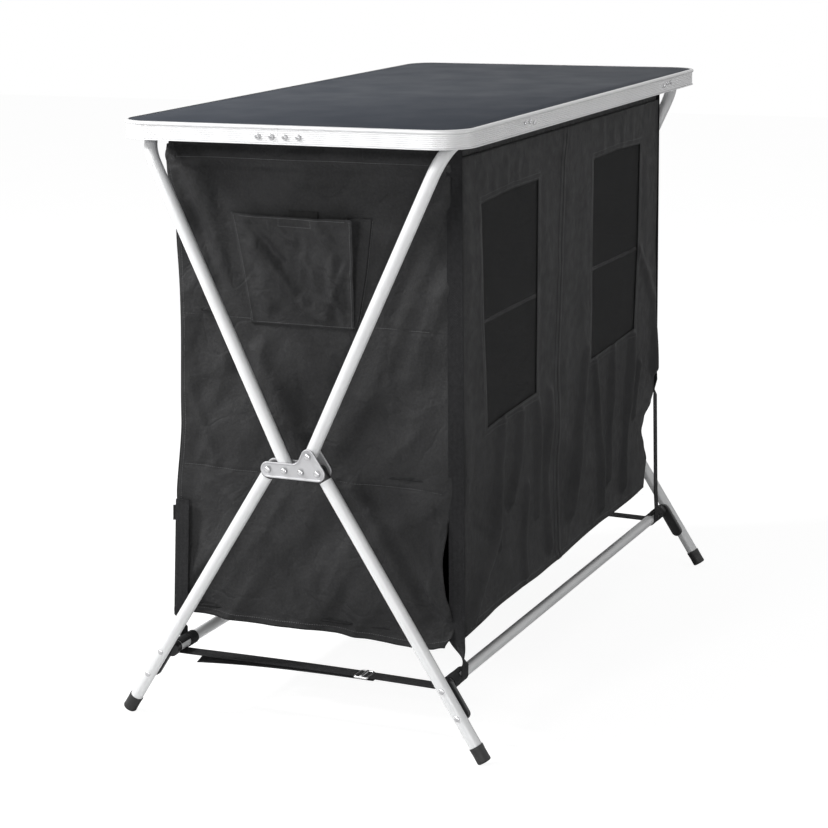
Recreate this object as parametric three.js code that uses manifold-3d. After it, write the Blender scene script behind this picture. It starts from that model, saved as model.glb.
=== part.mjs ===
// Folding camping cupboard: a light table top on a folding tube frame, with a cloth cabinet hung
// between the two top tubes. Millimetres, +Z up, origin on the floor under the middle of the top.
// +X runs along the long side, -Y is the front with the two cloth doors.

import * as THREE from 'three';
import { mergeVertices } from 'three/addons/utils/BufferGeometryUtils.js';
import Module from 'manifold-3d';

const wasm = await Module();
wasm.setup();

// Driving dimensions

const topLength = 1050;
const topWidth = 512;
const tableHeight = 846;
const fitGap = 0.3;
const cutOverrun = 2;
const pinSides = 8;
const pipeSides = 16;
const pipeSteps = 8;
const bendSteps = 5;

const board = { thickness: 8, inset: 0.8 };

const trim = {
  height: 25.5,
  web: 1.4,
  bead: 2.2,
  topFlange: 5,
  bottomFlange: 2.2,
  ribs: 4,
  ribDepth: 0.7,
  cornerRadius: 50,
  cornerSteps: 6,
  spliceY: 5.5,
};

const splice = {
  rivets: 4,
  pitch: 19.7,
  headRadius: 4,
  headHeight: 1.6,
  shankRadius: 2.2,
  thickness: 2,
  margin: 12,
  height: 12,
};

const tube = { radius: 9, wall: 1.2 };
const crossTube = { radius: 8, wall: 1.2 };
const legInset = 26;
const runInset = 33;
const runBend = 46;

const bracket = {
  height: 377.8,
  pitch: 24.6,
  plate: 2,
  endRadius: 11,
  lobeRadius: 10,
  lobeDistance: 25,
  filletReach: 5,
};

const rivet = { shankRadius: 2.4, headRadius: 4.2, headHeight: 1.7, clearance: 0.3 };

const upperLeg = { tailPastPivot: 7.5 };
const lowerLeg = { footHalfSpacing: 274, startPastPivot: 13, knuckleRadius: 8.8, knucklePlug: 16 };
const footCap = { radius: 10, length: 24, edgeRadius: 2.5, edgeSteps: 3, flatDepth: 0.6, base: 4 };

const fitting = {
  hubRadius: 10,
  neckLength: 10,
  spigotLength: 16,
  armWidth: 17,
  armThickness: 7,
  upperRivetRise: 2,
  lowerRivetDrop: 33,
};
const crossHeight = 94;
const crossInset = 7.1;

const clip = {
  length: 52,
  rivets: 3,
  nearInset: 220,
  farInset: 154,
  rivetPitch: 17,
  shankRadius: 1.8,
  headRadius: 2.8,
  headHeight: 1,
  pinRoot: 1,
  mouthAngle: 0.6,
  mouthSteps: 4,
};

const cloth = { thickness: 1.6, sleeveGap: 0.4, sleeveThickness: 1.1 };
const cabinetShape = {
  nearInset: 69,
  farInset: 87,
  wallInset: 9,
  dividerShare: 0.4513,
  dividerBack: 12,
  seamLead: 20,
  seamLean: -35,
  seamGap: 1.4,
  doorDrop: 45,
  doorRise: 61,
  hemRise: 10,
  farRetreat: 64,
  headerGap: 1,
  endDrop: 33,
  endRise: 38,
  rearFlare: 18,
  floorRise: 52,
  lowerShelfShare: 0.3267,
  upperShelfShare: 0.655,
  dividerDrop: 40,
  shelfThickness: 4,
  slabBack: 5,
};

const doorFold = { gathers: 6.5, depth: 5, columns: 15, rows: 10, opening: 3, hemSwell: 3 };
const endFold = {
  columns: 13,
  rows: 13,
  dragDepth: 6,
  dragPitch: 190,
  dragSlope: 0.55,
  dragStart: 60,
  creaseDepth: 2.4,
  creaseSpan: 90,
  gape: 31,
  gapeRise: 156,
  gapeSpan: 230,
  flapCurl: 12,
  cornerReach: 90,
  cornerLift: 14,
};
const backFold = { gathers: 8, depth: 4, columns: 20, rows: 10 };
const twistSteps = 4;

const pocket = {
  rear: 115,
  front: -60,
  gusset: 22,
  topDrop: 128,
  height: 150,
  depthRear: 7,
  depthFront: 24,
  bottomDepthRear: 4,
  bottomDepthFront: 7,
  wall: 1.4,
  easing: 60,
};

const tape = {
  width: 22,
  thickness: 1.4,
  standOff: 5,
  topDrop: 46,
  kneeRise: 236,
  rearRise: 206,
  rearInset: 18,
  rearSpread: 11,
  frontTwistRise: 48,
  rearTwistRise: 35,
  twistEndRise: 14,
  turn: 5.2,
  lowOffset: 2.5,
};
const spreader = { width: 24, thickness: 1.6, inset: 42, turn: 4.2, turnSteps: 12 };
const tail = { startShare: -0.46, endShare: 0.85, thickness: 1.2, sag: 7, rootOverlap: 0.3, inset: 1 };
const buckle = { length: 24, width: 30, wall: 1.3, bar: 3.4, shareOut: -0.373 };

// Tables of shares: how far up or along, then how much.
const domeShares = [0.86, 0.6, 0.5, 0.92];
const rearFlareShares = [[0, 1], [0.03, 0.95], [0.14, 0.5], [0.25, 0.42], [0.42, -0.2], [0.66, -0.33],
  [0.87, -0.6], [0.96, 0], [1, 0]];
const seamShares = [[0, 0.8], [0.36, 1], [0.65, 0.65], [0.93, 0.35], [1, 0]];
const farRetreatShares = [[0, 1], [0.03, 0.95], [0.09, 0.7], [0.16, 1], [0.2, 0.85], [0.27, 0.04], [1, 0]];
const ribShares = [0.15, 0.4, 0.65, 0.9];
const beadShares = { lowFace: 1.15, ribsFrom: 1.3, ribsTo: 1.6, shoulder: 0.35, crown: 0.4 };
const flapShare = 0.25;

// Colours

const finish = {
  laminate: { color: 0x5b6068, roughness: 0.45, metalness: 0 },
  brightAlloy: { color: 0xd9dadc, roughness: 0.32, metalness: 0.8 },
  tubeCoat: { color: 0xd4d5d6, roughness: 0.38, metalness: 0.45 },
  plate: { color: 0xb6b6b8, roughness: 0.45, metalness: 0.6 },
  rivetAlloy: { color: 0xe2e3e5, roughness: 0.25, metalness: 0.85 },
  blackPlastic: { color: 0x1d1d1f, roughness: 0.5, metalness: 0 },
  rubber: { color: 0x191919, roughness: 0.8, metalness: 0 },
  canvas: { color: 0x323234, roughness: 0.85, metalness: 0 },
  lining: { color: 0x2b2b2d, roughness: 0.9, metalness: 0 },
  webbing: { color: 0x202022, roughness: 0.9, metalness: 0 },
};

// Derived places

const legPlane = topLength / 2 - legInset;
const runHalfSpacing = topWidth / 2 - runInset;
const boardTop = tableHeight - board.inset;
const boardUnderside = boardTop - board.thickness;
const sleeveRadius = tube.radius + cloth.sleeveGap + cloth.sleeveThickness;
const runHeight = boardUnderside - fitGap - sleeveRadius;
const upperTilt = Math.atan2(runHalfSpacing - bracket.pitch / 2, runHeight - bracket.height);
const outerPivot = bracket.pitch * 1.5;
const innerPivot = bracket.pitch / 2;
const lowerTilt = Math.atan2(lowerLeg.footHalfSpacing - outerPivot, bracket.height);
const crossHalfSpacing = outerPivot + Math.tan(lowerTilt) * (bracket.height - crossHeight) - crossInset;
const trimOuterX = topLength / 2;
const trimOuterY = topWidth / 2;
const trimInset = trim.bead + trim.web;
const plateInner = tube.radius + fitGap;
const plateOuter = plateInner + bracket.plate;
const spreaderX = legPlane - spreader.inset;
const clipX = [clip.nearInset - legPlane, legPlane - clip.farInset];
const crossTubeEnd = legPlane - tube.radius - fitGap - fitting.armThickness - fitting.neckLength;

const cabinetLow = {
  floorZ: crossHeight + cabinetShape.floorRise,
  nearX: cabinetShape.nearInset - legPlane,
  farX: legPlane - cabinetShape.farInset,
  doorTop: tableHeight - cabinetShape.doorDrop,
};
const cabinetSpan = cabinetLow.doorTop - cabinetLow.floorZ;
const cabinetLength = cabinetLow.farX - cabinetLow.nearX;
const cabinet = {
  ...cabinetShape,
  ...cabinetLow,
  halfDepth: runHalfSpacing - cabinetShape.wallInset,
  dividerX: cabinetLow.nearX + cabinetLength * cabinetShape.dividerShare,
  doorBottom: crossHeight + cabinetShape.doorRise,
  endTop: tableHeight - cabinetShape.endDrop,
  endBottom: crossHeight + cabinetShape.endRise,
  lowerShelfZ: cabinetLow.floorZ + cabinetSpan * cabinetShape.lowerShelfShare,
  upperShelfZ: cabinetLow.floorZ + cabinetSpan * cabinetShape.upperShelfShare,
  dividerTop: tableHeight - cabinetShape.dividerDrop,
};
const gapeHeight = crossHeight + endFold.gapeRise;
const pocketTop = tableHeight - pocket.topDrop;
const pocketBottom = pocketTop - pocket.height;

// Small geometry helpers

const part = new THREE.Group();
const weldReach = 1e-4;

function material(name) {
  return new THREE.MeshStandardMaterial(finish[name]);
}

function welded(geometry) {
  const bare = geometry.index ? geometry.toNonIndexed() : geometry.clone();
  bare.deleteAttribute('normal');
  bare.deleteAttribute('uv');
  return mergeVertices(bare, weldReach);
}

function toSolid(geometry) {
  const merged = welded(geometry);
  const vertProperties = new Float32Array(merged.attributes.position.array);
  const triVerts = new Uint32Array(merged.index.array);
  return new wasm.Manifold(new wasm.Mesh({ numProp: 3, vertProperties, triVerts }));
}

function toGeometry(solid) {
  const mesh = solid.getMesh();
  const geometry = new THREE.BufferGeometry();
  const positions = new Float32Array(mesh.numVert * 3);
  for (let i = 0; i < mesh.numVert; i += 1) {
    positions.set(mesh.vertProperties.subarray(i * mesh.numProp, i * mesh.numProp + 3), i * 3);
  }
  geometry.setAttribute('position', new THREE.BufferAttribute(positions, 3));
  geometry.setIndex(Array.from(mesh.triVerts));
  return geometry;
}

function join(geometries) {
  return toGeometry(geometries.map(toSolid).reduce((whole, piece) => whole.add(piece)));
}

function cut(geometry, cutters) {
  return toGeometry(cutters.map(toSolid).reduce((whole, piece) => whole.subtract(piece), toSolid(geometry)));
}

function add(name, geometry, finishName) {
  const mesh = new THREE.Mesh(geometry, material(finishName));
  mesh.name = name;
  part.add(mesh);
  return mesh;
}

function boxBetween(low, high) {
  const size = new THREE.Vector3().subVectors(high, low);
  const centre = new THREE.Vector3().addVectors(low, high).multiplyScalar(0.5);
  return new THREE.BoxGeometry(size.x, size.y, size.z).translate(centre.x, centre.y, centre.z);
}

function rodBetween(start, end, radius, sides) {
  const along = new THREE.Vector3().subVectors(end, start);
  const turn = new THREE.Quaternion().setFromUnitVectors(
    new THREE.Vector3(0, 1, 0), along.clone().normalize());
  const middle = new THREE.Vector3().addVectors(start, end).multiplyScalar(0.5);
  return new THREE.CylinderGeometry(radius, radius, along.length(), sides).applyQuaternion(turn)
    .translate(middle.x, middle.y, middle.z);
}

function turnedBetween(profile, start, end, sides) {
  const along = new THREE.Vector3().subVectors(end, start).normalize();
  const turn = new THREE.Quaternion().setFromUnitVectors(new THREE.Vector3(0, 1, 0), along);
  return new THREE.LatheGeometry(profile.map(([r, h]) => new THREE.Vector2(r, h)), sides)
    .applyQuaternion(turn).translate(start.x, start.y, start.z);
}

// An outline drawn in the (y, z) plane, given thickness from x = low to x = high.
function sidePlate(shape, low, high, curveSegments) {
  const basis = new THREE.Matrix4().makeBasis(
    new THREE.Vector3(0, 1, 0), new THREE.Vector3(0, 0, 1), new THREE.Vector3(1, 0, 0));
  return new THREE.ExtrudeGeometry(shape, { depth: high - low, bevelEnabled: false, curveSegments })
    .applyMatrix4(basis).translate(low, 0, 0);
}

// A closed solid through rings of points, all rings with the same count, ends capped.
function loft(rings, caps) {
  const count = rings[0].length;
  const points = rings.flat();
  const index = [];
  for (let r = 0; r + 1 < rings.length; r += 1) {
    for (let i = 0; i < count; i += 1) {
      const j = (i + 1) % count;
      const a = r * count + i;
      const b = r * count + j;
      index.push(a, b, b + count, a, b + count, a + count);
    }
  }
  const last = (rings.length - 1) * count;
  for (const [a, b, c] of caps) {
    index.push(a, c, b);
    index.push(last + a, last + b, last + c);
  }
  const geometry = new THREE.BufferGeometry().setFromPoints(points);
  geometry.setIndex(index);
  return outward(geometry);
}

// Turns a closed geometry's faces outward when they point in.
function outward(geometry) {
  const p = geometry.attributes.position;
  const index = geometry.index.array;
  const [a, b, c] = [new THREE.Vector3(), new THREE.Vector3(), new THREE.Vector3()];
  let volume = 0;
  for (let i = 0; i < index.length; i += 3) {
    a.fromBufferAttribute(p, index[i]);
    b.fromBufferAttribute(p, index[i + 1]);
    c.fromBufferAttribute(p, index[i + 2]);
    volume += a.dot(b.cross(c));
  }
  if (volume < 0) {
    const turned = [];
    for (let i = 0; i < index.length; i += 3) {
      turned.push(index[i], index[i + 2], index[i + 1]);
    }
    geometry.setIndex(turned);
  }
  return geometry;
}

// A path of straight and curved runs, each cut into its own number of steps.
class SteppedPath extends THREE.Curve {
  constructor(runs) {
    super();
    this.runs = runs;
    this.steps = runs.reduce((sum, run) => sum + run.steps, 0);
  }

  locate(t) {
    let left = t * this.steps;
    for (const run of this.runs) {
      if (left <= run.steps) {
        return [run.curve, left / run.steps];
      }
      left -= run.steps;
    }
    return [this.runs[this.runs.length - 1].curve, 1];
  }

  getPoint(t) {
    const [curve, u] = this.locate(t);
    return curve.getPoint(Math.min(u, 1));
  }

  getPointAt(u) {
    return this.getPoint(u);
  }

  getTangentAt(u) {
    const [curve, local] = this.locate(u);
    return curve.getTangent(Math.min(local, 1));
  }
}

// A quarter turn that leaves along one unit direction and ends along another, square to it.
class BendCurve extends THREE.Curve {
  constructor(start, from, to, radius) {
    super();
    this.start = start;
    this.from = from;
    this.to = to;
    this.radius = radius;
  }

  getPoint(t) {
    const angle = t * Math.PI / 2;
    return this.start.clone()
      .addScaledVector(this.from, this.radius * Math.sin(angle))
      .addScaledVector(this.to, this.radius * (1 - Math.cos(angle)));
  }

  getTangent(t) {
    const angle = t * Math.PI / 2;
    const part = this.from.clone().multiplyScalar(Math.cos(angle));
    return part.addScaledVector(this.to, Math.sin(angle)).normalize();
  }
}

function ringShape(radius, bore) {
  const shape = new THREE.Shape().absarc(0, 0, radius, 0, Math.PI * 2);
  if (bore > 0) {
    shape.holes.push(new THREE.Path().absarc(0, 0, bore, 0, Math.PI * 2));
  }
  return shape;
}

function pipe(path, radius, wall) {
  const shape = ringShape(radius, radius - wall);
  const options = { steps: path.steps, bevelEnabled: false, extrudePath: path, curveSegments: pipeSteps };
  return outward(welded(new THREE.ExtrudeGeometry(shape, options)));
}

function straightPipe(start, end, radius, wall) {
  return pipe(new SteppedPath([{ curve: new THREE.LineCurve3(start, end), steps: 1 }]), radius, wall);
}

// Places on the frame, for the front (side -1) or rear (side 1) and an end (-1 near, 1 far).

function upperPoint(side, end, along) {
  return new THREE.Vector3(end * legPlane,
    side * (innerPivot + along * Math.sin(upperTilt)),
    bracket.height + along * Math.cos(upperTilt));
}

function lowerPoint(side, end, along) {
  return new THREE.Vector3(end * legPlane,
    side * (outerPivot + along * Math.sin(lowerTilt)),
    bracket.height - along * Math.cos(lowerTilt));
}

function lowerAtHeight(side, end, z) {
  return lowerPoint(side, end, (bracket.height - z) / Math.cos(lowerTilt));
}

function crossRod(place, radius, reach) {
  const x = Math.abs(place.x);
  const end = Math.sign(place.x);
  return rodBetween(
    new THREE.Vector3(end * (x - reach), place.y, place.z),
    new THREE.Vector3(end * (x + reach), place.y, place.z), radius, pinSides);
}

// A rivet on an X axis: domed head outside, flat head inside.
function rivetBetween(place, inner, outer, size) {
  const end = Math.sign(place.x);
  const x = Math.abs(place.x);
  const h = size.headHeight;
  const grip = inner + outer;
  const profile = [
    [0, 0], [size.headRadius, 0], [size.headRadius, h], [size.shankRadius, h],
    [size.shankRadius, h + grip], [size.headRadius, h + grip],
    [size.headRadius * domeShares[0], grip + h * (1 + domeShares[1])],
    [size.headRadius * domeShares[2], grip + h * (1 + domeShares[3])],
    [0, grip + h + h],
  ];
  const start = new THREE.Vector3(end * (x - inner - h), place.y, place.z);
  const far = new THREE.Vector3(end * (x + outer + h), place.y, place.z);
  return turnedBetween(profile, start, far, pinSides);
}

// Table top

function roundedRectangle(halfLength, halfWidth, radius) {
  const shape = new THREE.Shape();
  shape.moveTo(halfLength - radius, -halfWidth);
  shape.absarc(halfLength - radius, -halfWidth + radius, radius, -Math.PI / 2, 0);
  shape.absarc(halfLength - radius, halfWidth - radius, radius, 0, Math.PI / 2);
  shape.absarc(-halfLength + radius, halfWidth - radius, radius, Math.PI / 2, Math.PI);
  shape.absarc(-halfLength + radius, -halfWidth + radius, radius, Math.PI, Math.PI * 1.5);
  return shape;
}

function makeBoard() {
  const back = trim.topFlange + fitGap;
  const shape = roundedRectangle(trimOuterX - back, trimOuterY - back, trim.cornerRadius - back);
  const options = { depth: board.thickness, bevelEnabled: false, curveSegments: trim.cornerSteps / 2 };
  return new THREE.ExtrudeGeometry(shape, options).translate(0, 0, boardUnderside);
}

// The ribbed edge rail in section: u outward from the outer edge, z up from the lower lip.
function trimSection() {
  const b = trim.bead;
  const face = -b;
  const inner = face - trim.web;
  const outline = [
    [inner - trim.bottomFlange, 0],
    [-b * beadShares.shoulder, 0],
    [0, b * beadShares.crown],
    [-b * beadShares.shoulder, b],
    [face, b * beadShares.lowFace],
  ];
  const ribBand = trim.height - b * (beadShares.ribsFrom + beadShares.ribsTo);
  const pitch = ribBand / trim.ribs;
  for (let i = 0; i < trim.ribs; i += 1) {
    const z = b * beadShares.ribsFrom + i * pitch;
    outline.push([face, z + pitch * ribShares[0]]);
    outline.push([face + trim.ribDepth, z + pitch * ribShares[1]]);
    outline.push([face + trim.ribDepth, z + pitch * ribShares[2]]);
    outline.push([face, z + pitch * ribShares[3]]);
  }
  outline.push([-b * beadShares.shoulder, trim.height - b * beadShares.ribsFrom]);
  outline.push([0, trim.height - b * (1 - beadShares.crown)]);
  outline.push([-b * beadShares.shoulder, trim.height]);
  outline.push([-trim.topFlange, trim.height]);
  outline.push([-trim.topFlange, trim.height - board.inset + fitGap]);
  outline.push([inner, trim.height - board.inset + fitGap]);
  outline.push([inner, trim.web]);
  outline.push([inner - trim.bottomFlange, trim.web]);
  return outline.map(([u, z]) => new THREE.Vector2(u, z));
}

// Stations round half of the top's edge: a place and the outward direction there.
function trimStations(side) {
  const r = trim.cornerRadius;
  const cornerX = trimOuterX - r;
  const cornerY = trimOuterY - r;
  const seamY = trim.spliceY + side * fitGap / 2;
  const stations = [{ x: -trimOuterX, y: seamY, nx: -1, ny: 0 }];
  const corner = (end, share) => {
    const a = share * Math.PI / 2;
    const nx = end * Math.cos(a);
    const ny = side * Math.sin(a);
    stations.push({ x: end * cornerX + r * nx, y: side * cornerY + r * ny, nx, ny });
  };
  for (let i = 0; i <= trim.cornerSteps; i += 1) {
    corner(-1, i / trim.cornerSteps);
  }
  for (let i = trim.cornerSteps; i >= 0; i -= 1) {
    corner(1, i / trim.cornerSteps);
  }
  stations.push({ x: trimOuterX, y: seamY, nx: 1, ny: 0 });
  return stations;
}

function makeTrim(side) {
  const section = trimSection();
  const low = tableHeight - trim.height;
  const rings = trimStations(side).map((s) => section.map((p) =>
    new THREE.Vector3(s.x + s.nx * p.x, s.y + s.ny * p.x, low + p.y)));
  return loft(rings, THREE.ShapeUtils.triangulateShape(section, []));
}

function spliceRivetPlaces(end) {
  const first = trim.spliceY - splice.pitch * (splice.rivets - 1) / 2;
  const z = tableHeight - trim.height / 2 - trim.web * 2;
  return Array.from({ length: splice.rivets }, (_, i) =>
    new THREE.Vector3(end * trimOuterX, first + i * splice.pitch, z));
}

function makeSplicePlate(end) {
  const places = spliceRivetPlaces(end);
  const z = places[0].z;
  const outer = trimOuterX - trimInset - fitGap;
  const inner = outer - splice.thickness;
  const half = splice.pitch * (splice.rivets - 1) / 2 + splice.margin;
  const plate = boxBetween(
    new THREE.Vector3(Math.min(end * inner, end * outer), trim.spliceY - half, z - splice.height / 2),
    new THREE.Vector3(Math.max(end * inner, end * outer), trim.spliceY + half, z + splice.height / 2));
  const face = trimOuterX - trim.bead + trim.ribDepth + fitGap;
  const pins = places.map((p) => headedPin(p, end, inner + fitGap, face, splice));
  return join([plate, ...pins]);
}

// A pin along X from inside a plate to a domed head that stands on a face.
function headedPin(place, end, from, face, size) {
  const h = size.headHeight;
  const length = face - from;
  const profile = [
    [0, 0], [size.shankRadius, 0], [size.shankRadius, length], [size.headRadius, length],
    [size.headRadius * domeShares[0], length + h * domeShares[1]],
    [size.headRadius * domeShares[2], length + h * domeShares[3]], [0, length + h],
  ];
  return turnedBetween(profile, new THREE.Vector3(end * from, place.y, place.z),
    new THREE.Vector3(end * (face + h), place.y, place.z), pinSides);
}

function clipRivetPlaces(side, x) {
  const mirror = -Math.sign(x);
  const z = tableHeight - trim.height / 2 + trim.web;
  const middle = (clip.rivets - 1) / 2;
  const drop = (i) => (i === clip.rivets - 1 ? clip.headRadius : 0);
  return Array.from({ length: clip.rivets }, (_, i) =>
    new THREE.Vector3(x + mirror * (i - middle) * clip.rivetPitch, side * trimOuterY, z - drop(i)));
}

// A pin along Y, as headedPin is along X.
function sidePin(place, side, from, face, size) {
  const h = size.headHeight;
  const length = face - from;
  const profile = [
    [0, 0], [size.shankRadius, 0], [size.shankRadius, length], [size.headRadius, length],
    [size.headRadius * domeShares[0], length + h * domeShares[1]], [0, length + h],
  ];
  return turnedBetween(profile, new THREE.Vector3(place.x, side * from, place.z),
    new THREE.Vector3(place.x, side * (face + h), place.z), pinSides);
}

// A claw on the inside of the edge rail that cradles the outer side of a top tube.
function makeClip(side, x) {
  const outerY = trimOuterY - trimInset - fitGap;
  const top = boardUnderside - fitGap;
  const bottom = tableHeight - trim.height + trim.web + fitGap;
  const cradle = sleeveRadius + fitGap;
  const shape = new THREE.Shape();
  shape.moveTo(side * outerY, bottom);
  shape.lineTo(side * outerY, top);
  shape.lineTo(side * (runHalfSpacing + cradle * Math.cos(clip.mouthAngle)), top);
  for (let i = 0; i <= clip.mouthSteps; i += 1) {
    const a = clip.mouthAngle * (1 - i / clip.mouthSteps);
    shape.lineTo(side * (runHalfSpacing + cradle * Math.cos(a)), runHeight + cradle * Math.sin(a));
  }
  shape.lineTo(side * (runHalfSpacing + cradle), bottom);
  shape.closePath();
  const body = sidePlate(shape, x - clip.length / 2, x + clip.length / 2, 1);
  const face = trimOuterY - trim.bead + trim.ribDepth + fitGap;
  const pins = clipRivetPlaces(side, x).map((p) => sidePin(p, side, outerY - clip.pinRoot, face, clip));
  return join([body, ...pins]);
}

function trimCutters(side) {
  const cutters = [];
  for (const end of [-1, 1]) {
    for (const place of spliceRivetPlaces(end)) {
      cutters.push(crossRod(place, splice.shankRadius + fitGap, trimInset + cutOverrun));
    }
  }
  for (const x of clipX) {
    for (const place of clipRivetPlaces(side, x)) {
      const low = new THREE.Vector3(place.x, side * (trimOuterY - trimInset - cutOverrun), place.z);
      const high = new THREE.Vector3(place.x, side * (trimOuterY + cutOverrun), place.z);
      cutters.push(rodBetween(low, high, clip.shankRadius + fitGap, pinSides));
    }
  }
  return cutters;
}

function addTableTop() {
  add('table_board', makeBoard(), 'laminate');
  for (const [name, side] of [['front', -1], ['rear', 1]]) {
    add(`edge_rail_${name}`, cut(makeTrim(side), trimCutters(side)), 'brightAlloy');
    add(`tube_clip_${name}_near`, makeClip(side, clipX[0]), 'blackPlastic');
    add(`tube_clip_${name}_far`, makeClip(side, clipX[1]), 'blackPlastic');
  }
  add('splice_plate_near', makeSplicePlate(-1), 'rivetAlloy');
  add('splice_plate_far', makeSplicePlate(1), 'rivetAlloy');
}

// Folding frame

const cornerAlong = (runHeight - bracket.height) / Math.cos(upperTilt);

function makeTopTube(side, pinPlaces) {
  const up = new THREE.Vector3(0, side * Math.sin(upperTilt), Math.cos(upperTilt));
  const along = new THREE.Vector3(1, 0, 0);
  const foot = upperPoint(side, -1, -upperLeg.tailPastPivot);
  const bendStart = upperPoint(side, -1, cornerAlong - runBend);
  const corner = upperPoint(side, -1, cornerAlong);
  const runStart = corner.clone().addScaledVector(along, runBend);
  const runEnd = new THREE.Vector3(-runStart.x, runStart.y, runStart.z);
  const farTop = upperPoint(side, 1, cornerAlong - runBend);
  const farFoot = upperPoint(side, 1, -upperLeg.tailPastPivot);
  const path = new SteppedPath([
    { curve: new THREE.LineCurve3(foot, bendStart), steps: 1 },
    { curve: new BendCurve(bendStart, up, along, runBend), steps: bendSteps },
    { curve: new THREE.LineCurve3(runStart, runEnd), steps: 1 },
    { curve: new BendCurve(runEnd, along, up.clone().negate(), runBend), steps: bendSteps },
    { curve: new THREE.LineCurve3(farTop, farFoot), steps: 1 },
  ]);
  const holes = pinPlaces.flatMap((a) => [-1, 1].map((end) =>
    crossRod(upperPoint(side, end, a), rivet.shankRadius + rivet.clearance, tube.radius + cutOverrun)));
  return cut(pipe(path, tube.radius, tube.wall), holes);
}

// The five rivets of a bracket: outer leg pivots, rear top pivot and the two fixed ones.
function bracketPlaces(end) {
  return {
    rearLeg: lowerPoint(1, end, 0),
    rearTop: upperPoint(1, end, 0),
    frontTop: upperPoint(-1, end, 0),
    frontLeg: lowerPoint(-1, end, 0),
    lobe: upperPoint(-1, end, bracket.lobeDistance),
  };
}

// Boot-shaped plate: a bar round the four low rivets with a lobe up to the fifth.
function bracketOutline() {
  const place = bracketPlaces(-1);
  const rear = new THREE.Vector2(place.rearLeg.y, place.rearLeg.z);
  const front = new THREE.Vector2(place.frontLeg.y, place.frontLeg.z);
  const lobe = new THREE.Vector2(place.lobe.y, place.lobe.z);
  const root = new THREE.Vector2(place.frontTop.y, place.frontTop.z);
  const r = bracket.endRadius;
  const lobeDirection = lobe.clone().sub(root).normalize();
  const flankNormal = new THREE.Vector2(lobeDirection.y, -lobeDirection.x);
  const flankFoot = root.clone().addScaledVector(flankNormal, bracket.lobeRadius);
  const rise = (bracket.height + r - flankFoot.y) / lobeDirection.y;
  const notch = flankFoot.clone().addScaledVector(lobeDirection, rise);
  const span = front.clone().sub(lobe);
  const tangentTurn = Math.acos((bracket.lobeRadius - r) / span.length());
  const tangentAngle = span.angle() - tangentTurn;
  const flankAngle = flankNormal.angle();
  const shape = new THREE.Shape();
  shape.moveTo(front.x, front.y - r);
  shape.absarc(rear.x, rear.y, r, -Math.PI / 2, Math.PI / 2);
  shape.lineTo(notch.x + bracket.filletReach, notch.y);
  const flankStart = notch.clone().addScaledVector(lobeDirection, bracket.filletReach);
  shape.quadraticCurveTo(notch.x, notch.y, flankStart.x, flankStart.y);
  shape.absarc(lobe.x, lobe.y, bracket.lobeRadius, flankAngle, tangentAngle);
  shape.absarc(front.x, front.y, r, tangentAngle, Math.PI * 1.5);
  return shape;
}

const plateSteps = 4;

function plateBetween(end, inner, outer) {
  const low = Math.min(end * inner, end * outer);
  const high = Math.max(end * inner, end * outer);
  return sidePlate(bracketOutline(), low, high, plateSteps);
}

function makeOuterPlate(end) {
  const place = bracketPlaces(end);
  const grip = plateOuter + fitGap;
  const holes = [place.rearLeg, place.rearTop].map((p) =>
    crossRod(p, rivet.shankRadius + rivet.clearance, grip + cutOverrun));
  const plate = cut(plateBetween(end, legPlane + plateInner, legPlane + plateOuter), holes);
  const fixed = [place.frontTop, place.lobe, place.frontLeg].map((p) =>
    rivetBetween(p, grip, plateOuter - fitGap, rivet));
  return join([plate, ...fixed]);
}

function makeInnerPlate(end) {
  const holes = Object.values(bracketPlaces(end)).map((p) =>
    crossRod(p, rivet.shankRadius + rivet.clearance, plateOuter + cutOverrun));
  return cut(plateBetween(end, legPlane - plateOuter, legPlane - plateInner), holes);
}

function makeKnuckle(side, end) {
  const pivot = lowerPoint(side, end, 0);
  const eye = crossRod(pivot, lowerLeg.knuckleRadius, tube.radius - fitGap / 2);
  const neck = rodBetween(lowerPoint(side, end, lowerLeg.knuckleRadius / 2),
    lowerPoint(side, end, lowerLeg.startPastPivot - fitGap), lowerLeg.knuckleRadius, pipeSides);
  const plug = rodBetween(lowerPoint(side, end, lowerLeg.knuckleRadius / 2),
    lowerPoint(side, end, lowerLeg.startPastPivot + lowerLeg.knucklePlug),
    tube.radius - tube.wall - fitGap * 2, pipeSides);
  const bore = crossRod(pivot, rivet.shankRadius + rivet.clearance, tube.radius + cutOverrun);
  return cut(join([eye, neck, plug]), [bore]);
}

// How far down the leg its cap ends, so that the cap's lowest rim is just cut by the floor.
function capEndAlong() {
  const reach = footCap.radius - footCap.edgeRadius;
  const rim = reach * Math.sin(lowerTilt) + footCap.edgeRadius * (1 - Math.cos(lowerTilt));
  const height = rim - footCap.flatDepth;
  return (bracket.height - height) / Math.cos(lowerTilt);
}

function makeFootCap(side, end) {
  const e = footCap.edgeRadius;
  const bore = tube.radius + fitGap;
  const profile = [[0, 0]];
  for (let i = 0; i <= footCap.edgeSteps; i += 1) {
    const a = i / footCap.edgeSteps * Math.PI / 2;
    profile.push([footCap.radius - e + e * Math.sin(a), e - e * Math.cos(a)]);
  }
  profile.push([footCap.radius, footCap.length], [bore, footCap.length]);
  profile.push([bore, footCap.base], [0, footCap.base]);
  const low = lowerPoint(side, end, capEndAlong());
  const cap = turnedBetween(profile, low, lowerPoint(side, end, 0), pipeSides);
  const reach = footCap.radius + footCap.length;
  const floor = boxBetween(new THREE.Vector3(low.x - reach, low.y - reach, -reach),
    new THREE.Vector3(low.x + reach, low.y + reach, 0));
  return cut(cap, [floor]);
}

function fittingRivetPlaces(side, end) {
  const heights = [crossHeight + fitting.upperRivetRise, crossHeight - fitting.lowerRivetDrop];
  return heights.map((z) => lowerAtHeight(side, end, z));
}

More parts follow.
